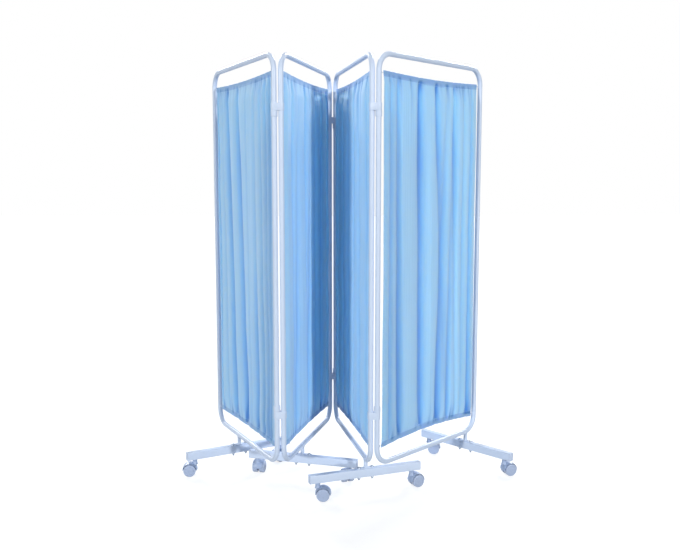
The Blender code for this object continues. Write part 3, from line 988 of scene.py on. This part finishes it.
    def cloth(self) -> None:
        mesh = self.grid(f"gathered_curtain_{self.plan.number}")
        places = np.empty(len(mesh.vertices) * 3)
        mesh.vertices.foreach_get("co", places)
        across, up, back = places.reshape(-1, 3).T
        points, flat, painted_shade = self.surface((across + 1) / 2, (up + 1) / 2, back)
        turn = np.array(self.plan.place)
        mesh.vertices.foreach_set("co", (points @ turn[:3, :3].T + turn[:3, 3]).ravel())
        corners = np.empty(len(mesh.loops), dtype=np.int32)
        mesh.loops.foreach_get("vertex_index", corners)
        mesh.uv_layers.new(name="cloth").data.foreach_set("uv", flat[corners].ravel())
        # Stores the painted shade on the points, for the cloth's material to read
        mesh.attributes.new("painted_shade", "FLOAT", "POINT").data.foreach_set("value", painted_shade)
        shell = bmesh.new()
        shell.from_mesh(mesh)
        bmesh.ops.recalc_face_normals(shell, faces=shell.faces)
        shell.to_mesh(mesh)
        shell.free()
        mesh.shade_smooth()
        made = dress(mesh, Finish.CLOTH, self.plan.body, [f"curtain_{self.plan.number}"])

    def hook(self, mirrored: bool, height: float) -> list[Vector]:
        """Bends one end of a wire.

        Args:
            mirrored: Whether it is the right end.
            height: The wire's height there.

        Returns:
            The end's points, from the cloth outwards and through its eye.
        """
        rim = self.tube_r + 2 * self.eye_r
        bend = self.eye_wire_r + self.hook_gap + self.wire_r
        start, end = self.hook_deg
        points = [Vector((rim + bend * self.hook_lead, 0, height))]
        for k in range(self.hook_steps + 1):
            a = math.radians(start + (end - start) * k / self.hook_steps)
            points.append(Vector((rim + bend * math.cos(a), bend * math.sin(a), height)))
        return [Vector((self.width - p.x, p.y, p.z)) for p in points] if mirrored else points

    def wire(self, at_top: bool) -> None:
        """Makes one wire with its two hooked ends.

        Args:
            at_top: Whether it is the top wire.
        """
        height = self.wire_z(at_top, 0.0)
        shares = [k / self.wire_steps for k in range(self.wire_steps + 1)]
        run = [Vector((self.left + self.span * s, 0, self.wire_z(at_top, s))) for s in shares]
        path = self.hook(False, height)[::-1] + run + self.hook(True, height)
        bm = bmesh.new()
        add_pipe(bm, path, self.wire_r, self.wire_sides, side=Vector((0, 0, 1)))
        end = f"{'top' if at_top else 'bottom'}_{self.plan.number}"
        name, nodes = f"curtain_wire_{end}", [f"wire_{end}"]
        place_piece(name, bm, Finish.WIRE, self.plan.body, nodes, self.plan.place, sharp_deg=60)

    def build(self) -> None:
        """Makes the wires and the cloth."""
        self.wire(True)
        self.wire(False)
        self.cloth()


@dataclass(frozen=True)
class StrapHinge(PanelSizes):
    """One pair's straps, which clip round both tubes, and the stop collars that hold their height."""

    pair: str
    start: Vector
    heading: float
    collar_panel: int
    collar_on_start: bool
    pitch: float = 0.028
    bore_r: float = 0.0113
    wall: float = 0.0020
    height: float = 0.030
    collar_wall: float = 0.0025
    collar_height: float = 0.024
    from_rail: float = 0.213
    gap: float = 0.0003
    edge_r: float = 0.0007
    sides: int = 40
    rivet_r: float = 0.0036
    rivet_rise: float = 0.0012
    screw_r: float = 0.0024
    # A rivet's dome, in shares of its radius and rise
    rivet_dome: Outline = ((0.0, 1.0), (0.6, 0.8), (1.0, 0.15))
    # The clamp screw's head with its recess, in shares of its radius and metres from the collar's face
    screw_head: Outline = (
        (0.0, 0.0004), (0.45, 0.0004), (0.55, 0.001), (1.0, 0.0009), (1.0, -0.001), (0.0, -0.001),
    )

    def levels(self) -> list[tuple[str, float, float]]:
        """Works out how high the straps and collars sit.

        Returns:
            Each strap's name, the middle of its height, and the middle of its collar's height.
        """
        step = (self.height + self.collar_height) / 2 + self.gap
        top, low = self.top_rail - self.from_rail, self.low_rail + self.from_rail
        return [("top", top, top - step), ("bottom", low, low + step)]

    def strap(self, name: str, middle: float) -> None:
        """Makes one strap with a rivet between the tubes on each side.

        Args:
            name: Which of the two it is.
            middle: The middle of its height.
        """
        outer = self.bore_r + self.wall
        bm = bmesh.new()
        ring = bmesh.ops.create_circle(bm, cap_ends=True, segments=self.sides, radius=outer)["verts"]
        bmesh.ops.rotate(bm, verts=ring, cent=(0, 0, 0), matrix=Matrix.Rotation(math.pi / self.sides, 3, "Z"))
        bmesh.ops.translate(bm, vec=(self.pitch, 0, 0), verts=[v for v in ring if v.co.x > 0])
        grown = bmesh.ops.extrude_face_region(bm, geom=bm.faces[:])["geom"]
        bmesh.ops.translate(bm, vec=(0, 0, self.height), verts=only(grown, BMVert))
        round_edges(bm, level_edges(bm.edges), self.edge_r, 3)
        bmesh.ops.translate(bm, vec=(0, 0, middle - self.height / 2), verts=bm.verts)
        dome = [(self.rivet_r * out, outer + self.rivet_rise * up) for out, up in self.rivet_dome]
        dome += [(self.rivet_r, outer - self.wall / 2), (0, outer - self.wall / 2)]
        spot = Matrix.Translation((self.pitch / 2, 0, middle))
        for turned in (ACROSS.inverted(), ACROSS):
            add_turned(bm, dome, 20, spot @ turned)
        place, node = stand_at(self.start, self.heading), f"hinge_strap_{name}_{self.pair}"
        place_piece(f"clip_strap_{name}_{self.pair}", bm, Finish.COAT, f"link_{self.pair}", [node], place)

    def collar(self, name: str, middle: float) -> None:
        """Makes one stop collar with its clamp screw.

        Args:
            name: The name of its strap.
            middle: The middle of its height.
        """
        inner, outer = self.bore_r, self.bore_r + self.collar_wall
        half, edge = self.collar_height / 2, self.edge_r
        lower = [(inner, edge - half), (inner + edge, -half), (outer - edge, -half), (outer, edge - half)]
        profile = [(radius, middle + z) for radius, z in lower + [(radius, -z) for radius, z in lower[::-1]]]
        bm = bmesh.new()
        add_turned(bm, profile, self.sides, looped=True)
        head = [(self.screw_r * share, outer + rise) for share, rise in self.screw_head]
        add_turned(bm, head, 18, Matrix.Translation((0, 0, middle)) @ ACROSS)
        across = Vector((math.cos(self.heading), math.sin(self.heading), 0)) * self.pitch
        centre = self.start if self.collar_on_start else self.start + across
        place, node = stand_at(centre, self.heading), f"stop_collar_{name}_{self.pair}"
        body = f"panel_{self.collar_panel}"
        place_piece(f"clamp_collar_{name}_{self.pair}", bm, Finish.COAT, body, [node], place)

    def build(self) -> None:
        """Makes both straps and both collars."""
        for name, strap_middle, collar_middle in self.levels():
            self.strap(name, strap_middle)
            self.collar(name, collar_middle)


@dataclass(frozen=True)
class FootBar:
    """One foot: a rectangular tube with moulded end plugs and two bolts through its flange."""

    number: int
    place: Matrix
    length: float = 0.510
    width: float = 0.028
    height: float = 0.036
    bottom: float = 0.076
    edge_r: float = 0.0030
    plug_t: float = 0.0026
    plug_r: float = 0.0024
    plug_in: float = 0.0004
    bolt_spacing: float = 0.062
    plate_top: float = 0.1153
    head_r: float = 0.0078
    head_h: float = 0.0060
    # The angles at which the head's dome has its points, from its middle to its rim
    dome_angles: tuple[float, ...] = (0.0, 0.35, 0.7, 1.05, 1.35, 1.55)
    washer_r: float = 0.0088
    washer_t: float = 0.0012
    nut_flats: float = 0.0130
    nut_h: float = 0.0075
    nut_edge: float = 0.0005
    bolt_r: float = 0.0040
    tail: float = 0.0065
    pitch: float = 0.00125
    # The thread's root and the tail's chamfered end, in bolt radii
    root_share: float = 0.86
    tip_share: float = 0.8

    @property
    def body(self) -> str:
        """The panel's body."""
        return f"panel_{self.number}"

    def box(self, ends: tuple[float, float], radius: float, segments: int, along: int | None = None) -> BMesh:
        """Makes a box with the bar's section.

        Args:
            ends: Where it starts and ends along the bar.
            radius: The radius of its edges.
            segments: How many steps each rounding takes.
            along: Rounds only the edges along this axis.

        Returns:
            The new mesh.
        """
        low = (-self.width / 2, min(ends), self.bottom)
        high = (self.width / 2, max(ends), self.bottom + self.height)
        bm = bmesh.new()
        add_box(bm, low, high, radius, segments, along)
        return bm

    def thread(self, low: float, high: float) -> list[tuple[float, float]]:
        """Works out a thread's outline.

        Args:
            low: The height of its end.
            high: The height where it starts.

        Returns:
            Its profile, from the top down.
        """
        points, z = [], high
        while z - self.pitch > low:
            points += [(self.bolt_r, z), (self.bolt_r * self.root_share, z - self.pitch / 2)]
            z -= self.pitch
        return points + [(self.bolt_r, z), (self.bolt_r * self.tip_share, low), (0, low)]

    def bolt(self, name: str, side: int) -> None:
        """Makes a domed bolt with its washers and nut.

        Args:
            name: Which of the two it is.
            side: -1 for the front, 1 for the back.
        """
        spot = Matrix.Translation((0, side * self.bolt_spacing / 2, 0))
        seat, nut_top = self.plate_top + self.washer_t, self.bottom - self.washer_t
        nut_low, nut_r = self.bottom - self.nut_h, self.nut_flats / 2 / math.cos(math.pi / 6)
        rise = self.head_h - self.washer_t
        dome = [(self.head_r * math.sin(a), seat + rise * math.cos(a)) for a in self.dome_angles]
        bm = bmesh.new()
        for start, end in ((self.plate_top, seat), (self.bottom, nut_top)):
            add_turned(bm, [(0, start), (self.washer_r, start), (self.washer_r, end), (0, end)], 24, spot)
        add_turned(bm, [*dome, (self.head_r, seat), (0, seat)], 24, spot)
        nut = bmesh.ops.create_cone(
            bm, cap_ends=True, segments=6, radius1=nut_r, radius2=nut_r, depth=nut_top - nut_low,
            matrix=spot @ Matrix.Translation((0, 0, (nut_top + nut_low) / 2)),
        )["verts"]
        round_edges(bm, level_edges(edges_at(nut)), self.nut_edge, 2)
        start = nut_low + self.nut_edge
        add_turned(bm, [(0, start), *self.thread(nut_low - self.tail, start)], 20, spot)
        node = f"flange_bolt_{name}_{self.number}"
        place_piece(f"domed_bolt_{name}_{self.number}", bm, Finish.ZINC, self.body, [node], self.place)

    def build(self) -> None:
        """Makes the bar, its plugs and its bolts."""
        half, node = self.length / 2, f"foot_bar_{self.number}"
        bar = self.box((-half, half), self.edge_r, 5, along=1)
        place_piece(f"foot_tube_{self.number}", bar, Finish.COAT, self.body, [node], self.place)
        for name, side in (("front", -1), ("back", 1)):
            plug = self.box((side * (half - self.plug_in), side * (half + self.plug_t)), self.plug_r, 4)
            place_piece(f"end_plug_{name}_{self.number}", plug, Finish.PLUG, self.body, (), self.place)
            self.bolt(name, side)


@dataclass(frozen=True)
class TwinCaster:
    """One hooded twin-wheel caster. In its own frame the axle lies along Y, and the stem is towards -X."""

    end: str
    number: int
    stem: Vector
    axle: Vector
    wheel_r: float = 0.028
    half_width: float = 0.02675
    half_gap: float = 0.00425
    clearance: float = 0.0003
    hood_gap: float = 0.0015
    hood_t: float = 0.0022
    # The wheels stand proud of the hood, which is domed between its lips
    lip_back: float = 0.0055
    lip_edge: float = 0.0005
    crown: float = 0.0018
    stem_bulge: float = 0.0030
    hood_steps: int = 30
    # How many steps the hood's outside takes from its middle to a lip
    dome_steps: int = 8
    web_t: float = 0.0065
    web_overlap: float = 0.0004
    lug_r: float = 0.011
    lug_edge: float = 0.0006
    neck_r: float = 0.0105
    # Out from neck_r and up from the bar: the flare into the hood, the neck and the bearing's groove
    neck: Outline = (
        (0.0030, -0.0225), (0.0016, -0.0185), (0.0004, -0.0150), (0, -0.0110), (0, -0.0042),
        (-0.0008, -0.0036), (-0.0008, -0.0028), (0, -0.0022), (0, -0.0006), (-0.0006, 0),
    )
    axle_r: float = 0.003
    # A wheel's outside: the hub cap by radius, then the tread in from wheel_r, both with how far they lie in
    # from the side, and the inner rim, in from wheel_r and out from the gap
    hub: Outline = (
        (0, 0.0009), (0.0046, 0.0009), (0.0052, 0.0014), (0.0060, 0.0014), (0.0066, 0.0004), (0.0170, 0),
        (0.0184, 0.0003), (0.0189, 0.0012), (0.0197, 0.0012), (0.0202, 0.0002),
    )
    tread: Outline = ((0.0024, 0.0002), (0.0010, 0.0009), (0.0002, 0.0022), (0, 0.0042))
    inner_rim: Outline = ((0, 0.0026), (0.0008, 0.0008), (0.0022, 0))
    wheel_steps: int = 48

    @cached_property
    def place(self) -> Matrix:
        """The matrix from the caster's frame to the screen's."""
        trail = self.axle - self.stem
        return stand_at(self.axle, math.atan2(trail.y, trail.x))

    def add_shell(self, bm: BMesh, inner: float) -> None:
        """Adds the hood's shell, half round the axle.

        Args:
            bm: The mesh to add to.
            inner: The shell's inside radius.
        """
        outer, edge = inner + self.hood_t, self.lip_edge
        lip = self.half_width - self.lip_back
        shares = [k / self.dome_steps for k in range(-self.dome_steps, self.dome_steps + 1)]
        profile = [(inner, -lip + 6 * edge), (outer - 2.2 * edge, -lip), (outer - edge, -lip)]
        profile += [(outer, (lip - edge) * share) for share in shares]
        profile += [(outer - edge, lip), (outer - 2.2 * edge, lip), (inner, lip - 6 * edge)]
        verts = [bm.verts.new((radius, y, 0)) for radius, y in profile]
        edges = [bm.edges.new(pair) for pair in zip(verts, verts[1:] + verts[:1])]
        last = bmesh.ops.spin(
            bm, geom=verts + edges, cent=(0, 0, 0), axis=(0, 1, 0), angle=-math.pi, steps=self.hood_steps
        )["geom_last"]
        bmesh.ops.contextual_create(bm, geom=edges)
        bmesh.ops.contextual_create(bm, geom=only(last, BMEdge))
        for vert in bm.verts:
            radius = math.hypot(vert.co.x, vert.co.z)
            if radius > outer - edge / 2:
                vert.co.xz *= 1 + self.swell(vert.co, lip) / radius

    def swell(self, point: Vector, lip: float) -> float:
        """Returns how far the hood bulges at a point, most beside the stem and nothing at its lips."""
        towards = (-point.x + point.z) / math.sqrt(2) / math.hypot(point.x, point.z)
        return (self.crown + self.stem_bulge * max(towards, 0.0) ** 2) * (1 - (point.y / lip) ** 2)

    def add_web(self, bm: BMesh, radius: float) -> None:
        """Adds the half disc between the wheels that carries the shell.

        Args:
            bm: The mesh to add to.
            radius: The disc's radius.
        """
        web = bmesh.ops.create_cone(
            bm, cap_ends=True, segments=48, radius1=radius, radius2=radius, depth=self.web_t, matrix=ACROSS
        )["verts"]
        faces = list(dict.fromkeys(face for vert in web for face in vert.link_faces))
        cut = bmesh.ops.bisect_plane(
            bm, geom=web + edges_at(web) + faces, plane_co=(0, 0, 0), plane_no=(0, 0, -1), clear_outer=True
        )["geom_cut"]
        bmesh.ops.contextual_create(bm, geom=only(cut, BMEdge))

    def hood(self) -> None:
        """Makes the hood with its web, its lug and the swivel neck, which flares into it."""
        inner = self.wheel_r + self.hood_gap
        bm = bmesh.new()
        self.add_shell(bm, inner)
        self.add_web(bm, inner + self.web_overlap)
        half, edge = self.half_gap - self.clearance, self.lug_edge
        lug = [(0, -half), (self.lug_r - edge, -half), (self.lug_r, -half + edge)]
        lug += [(radius, -y) for radius, y in reversed(lug)]
        add_turned(bm, lug, 32, ACROSS)
        trail, top = (self.axle - self.stem).xy.length, self.stem.z - self.axle.z - self.clearance
        neck = [(self.neck_r + out, top + up) for out, up in self.neck]
        profile = [(0, neck[0][1]), *neck, (0, top)]
        add_turned(bm, profile, 32, Matrix.Translation((-trail, 0, 0)))
        name = f"{self.end}_{self.number}"
        place_piece(f"caster_hood_{name}", bm, Finish.HOOD, f"swivel_{name}", [f"caster_{name}"], self.place)

    def wheels(self) -> None:
        """Makes the two wheels on their axle, each with a raised hub cap and a rounded tread."""
        side, r = self.half_width, self.wheel_r
        half = [(radius, side - back) for radius, back in self.hub]
        half += [(r - back, side - down) for back, down in self.tread]
        half += [(r - back, self.half_gap + out) for back, out in self.inner_rim]
        half.append((self.axle_r, self.half_gap))
        profile = half + [(radius, -y) for radius, y in reversed(half)]
        bm = bmesh.new()
        add_turned(bm, profile, self.wheel_steps, ACROSS)
        name = f"{self.end}_{self.number}"
        body, nodes = f"wheelset_{name}", [f"wheels_{name}"]
        place_piece(f"twin_wheels_{name}", bm, Finish.WHEEL, body, nodes, self.place)

    def build(self) -> None:
        """Makes the hood and the wheels."""
        self.hood()
        self.wheels()


@dataclass(frozen=True)
class Studio:
    """The plain pale floor, the two frontal lamps, the two at the back, the fill and the camera."""

    lens_mm: float = 41.57
    sensor_mm: float = 36.0
    eye: tuple[float, float, float] = (-0.1055, -3.5469, 1.3336)
    tilt_deg: float = 6.562
    turn_deg: float = -0.973
    floor_size: float = 60.0
    floor_colour: str = "9A9EA2"
    floor_glow: float = 0.80
    fill: float = 0.46
    # The surroundings are dim towards the camera and above it, within these angles of their darkest way
    front_fill: float = 0.19
    front_lift_deg: float = 30.0
    front_reach_deg: tuple[float, float] = (37.0, 96.0)
    # Azimuth and elevation of each lamp, its level and its width in degrees
    lamps: tuple[tuple[float, float, float, float], ...] = (
        (33.0, 11.0, 0.52, 3.0),
        (-43.0, 11.0, 0.45, 3.0),
        (150.0, 30.0, 0.58, 12.0),
        (-150.0, 30.0, 0.58, 12.0),
    )

    def camera(self) -> None:
        """Makes the camera at the photograph's place."""
        data = bpy.data.cameras.new("camera")
        data.lens = self.lens_mm
        data.sensor_width = self.sensor_mm
        made = add_object(data)
        made.location = self.eye
        made.rotation_euler = (math.radians(90 - self.tilt_deg), 0, math.radians(self.turn_deg))
        bpy.context.scene.camera = made

    def floor(self) -> None:
        """Makes the floor, which looks white where the screen doesn't shade it."""
        bm = bmesh.new()
        bmesh.ops.create_grid(bm, x_segments=1, y_segments=1, size=self.floor_size / 2)
        made = add_object(to_mesh(bm, "studio_floor"))
        material, tree, shader = new_material("studio_paper")
        settings = {"Base Color": from_hex(self.floor_colour), "Roughness": 0.95, "Specular IOR Level": 0.0}
        fill_node(tree, shader, settings, {})
        levels = (0.0, self.floor_glow)
        dark, glow = (add_node(tree, "Emission", {"Strength": level}).outputs[0] for level in levels)
        shown = add_node(tree, "MixShader", {}, {0: self.seen(tree), 1: dark, 2: glow})
        total = add_node(tree, "AddShader", {}, {0: shader.outputs[0], 1: shown.outputs[0]})
        tree.links.new(total.outputs[0], tree.nodes["Material Output"].inputs["Surface"])
        made.data.materials.append(material)

    @staticmethod
    def seen(tree: NodeTree) -> NodeSocket:
        """Finds the rays that show the background.

        Args:
            tree: The tree that asks.

        Returns:
            A socket that is 1 for those rays.
        """
        path = add_node(tree, "LightPath")
        shown = path.outputs["Is Camera Ray"]
        for name in ("Is Glossy Ray", "Is Transmission Ray"):
            links = {0: shown, 1: path.outputs[name]}
            shown = add_node(tree, "Math", {"operation": "MAXIMUM"}, links).outputs[0]
        return shown

    def world(self) -> None:
        """Makes the white surroundings, which light the screen less than they show, least from the front."""
        world = bpy.data.worlds.new("studio")
        world.use_nodes = True
        bpy.context.scene.world = world
        tree = world.node_tree
        way = add_node(tree, "TexCoord").outputs["Generated"]
        lift = math.radians(self.front_lift_deg)
        darkest = {"operation": "DOT_PRODUCT", 1: (0, -math.cos(lift), math.sin(lift))}
        ahead = add_node(tree, "VectorMath", darkest, {0: way}).outputs["Value"]
        near, far = (math.cos(math.radians(angle)) for angle in self.front_reach_deg)
        reach = {"From Min": far, "From Max": near, "To Min": self.fill, "To Max": self.front_fill}
        lit = add_node(tree, "MapRange", {"interpolation_type": "SMOOTHSTEP", **reach}, {"Value": ahead})
        links = {"Value": self.seen(tree), "To Min": lit.outputs["Result"]}
        level = add_node(tree, "MapRange", {"To Max": 1.0}, links).outputs["Result"]
        fill_node(tree, tree.nodes["Background"], {"Color": (1.0, 1.0, 1.0, 1.0)}, {"Strength": level})

    def lights(self) -> None:
        """Makes the lamps."""
        for number, (azimuth, elevation, level, width) in enumerate(self.lamps):
            data = bpy.data.lights.new(f"lamp_{number}", "SUN")
            data.energy = level * math.pi
            data.angle = math.radians(width)
            a, e = math.radians(azimuth), math.radians(elevation)
            towards = Vector((math.sin(a) * math.cos(e), -math.cos(a) * math.cos(e), math.sin(e)))
            add_object(data).rotation_euler = towards.to_track_quat("Z", "Y").to_euler()

    def build(self) -> None:
        """Makes the whole studio."""
        self.camera()
        self.floor()
        self.world()
        self.lights()
        bpy.context.scene.view_settings.view_transform = "Standard"


# The folds of each curtain, from the left, as the panels stand in the zigzag
CREASES = (
    (
        Crease(0.056, 0.060, (0.6, 0.5, 0.4), 0.0166),
        Crease(0.150, 0.190, (0.1, 0.2, 0.3), 0.0202),
        Crease(0.235, 0.330, (1.1, 0.7, 1.2), 0.0221),
        Crease(0.425, 0.535, (1.1, 0.7, 1.4), 0.0239),
        Crease(0.590, 0.640, (0.2, 0.1, 0.2), 0.0166),
        Crease(0.735, 0.730, (0.1, 0.2, 1.3), 0.0184),
        Crease(0.830, 0.845, (0.2, 0.3, 0.9), 0.0129),
        Crease(0.905, 0.912, (0.6, 0.3, 0.6), 0.0147),
        Crease(0.965, 0.955, (0.8, 0.4, 0.4), 0.0129),
    ),
    (
        Crease(0.150, 0.165, (0.7, 0.3, 0.3), 0.0166),
        Crease(0.260, 0.215, (0.0, 0.5, 0.6), 0.0202),
        Crease(0.413, 0.440, (1.1, 0.4, 0.1), 0.0166),
        Crease(0.510, 0.480, (0.0, 0.3, 0.8), 0.0202),
        Crease(0.640, 0.630, (0.3, 0.5, 0.4), 0.0202),
        Crease(0.780, 0.775, (0.6, 0.6, 0.7), 0.0202),
        Crease(0.930, 0.920, (0.8, 0.5, 0.7), 0.0166),
    ),
    (
        Crease(0.097, 0.100, (0.6, 0.7, 0.6), 0.0166),
        Crease(0.262, 0.270, (0.3, 0.4, 0.5), 0.0202),
        Crease(0.440, 0.430, (0.2, 0.3, 0.6), 0.0202),
        Crease(0.596, 0.605, (1.0, 0.4, 0.3), 0.0166),
        Crease(0.735, 0.770, (0.1, 0.6, 0.7), 0.0184),
        Crease(0.940, 0.950, (0.9, 0.4, 0.6), 0.0147),
    ),
    (
        Crease(0.061, 0.070, (0.35, 0.40, 0.5), 0.0166),
        Crease(0.125, 0.172, (0.40, 0.70, 1.5), 0.0202),
        Crease(0.352, 0.395, (1.60, 0.75, 1.2), 0.0221),
        Crease(0.525, 0.680, (0.90, 0.30, 0.0), 0.0221),
        Crease(0.640, 0.575, (0.00, 0.45, 1.2), 0.0221),
        Crease(0.730, 0.780, (1.00, 0.25, 0.1), 0.0166),
        Crease(0.725, 0.690, (0.00, 0.30, 0.7), 0.0184),
        Crease(0.840, 0.845, (0.10, 0.25, 0.3), 0.0129),
        Crease(0.930, 0.937, (0.20, 0.55, 1.4), 0.0147),
    ),
)
# How far each bottom wire bows up in its middle
BOTTOM_RISES = (0.008, 0.008, 0.008, 0.020)
# How far inwards each cloth's side edges move: the left one at its top and bottom, then the right one
EDGE_SHIFTS = (
    (0.002, 0.002, -0.011, -0.0125),
    (-0.0125, -0.013, 0.002, 0.002),
    (0.002, 0.002, 0.003, 0.001),
    (0.005, 0.004, 0.003, -0.007),
)
FIRST_SEED = 11
# The panel that carries each hinge's collars, and whether its tube is the one where the strap starts
COLLARS = ((1, True), (3, False), (4, False))


def build_casters(plan: Plan, number: int) -> Matrix:
    """Makes a panel's two casters.

    Args:
        plan: The screen's plan.
        number: The panel's number.

    Returns:
        The matrix from the foot's own frame, with Y along the bar, to the screen's.
    """
    stems = {end: plan.spot(f"swivel_{end}_{number}_turn") for end in ("front", "back")}
    for end, stem in stems.items():
        TwinCaster(end, number, stem, plan.spot(f"wheels_{end}_{number}_roll")).build()
    along = stems["back"] - stems["front"]
    middle = (stems["back"] + stems["front"]) / 2
    return stand_at(Vector((middle.x, middle.y, 0)), math.atan2(along.y, along.x) - math.pi / 2)


def main() -> None:
    """Builds the studio and every sub-assembly."""
    logging.basicConfig(level=logging.INFO, format="%(message)s")
    Studio().build()
    plan = Plan()
    for index, (panel, *cloth) in enumerate(zip(plan.panels(), CREASES, BOTTOM_RISES, EDGE_SHIFTS)):
        place = build_casters(plan, panel.number)
        FootBar(panel.number, place).build()
        TubeFrame(panel, place).build()
        Curtain(panel, *cloth, seed=FIRST_SEED + index).build()
    for strap, collars in zip(plan.straps(), COLLARS):
        StrapHinge(*strap, *collars).build()


if __name__ == "__main__":
    main()
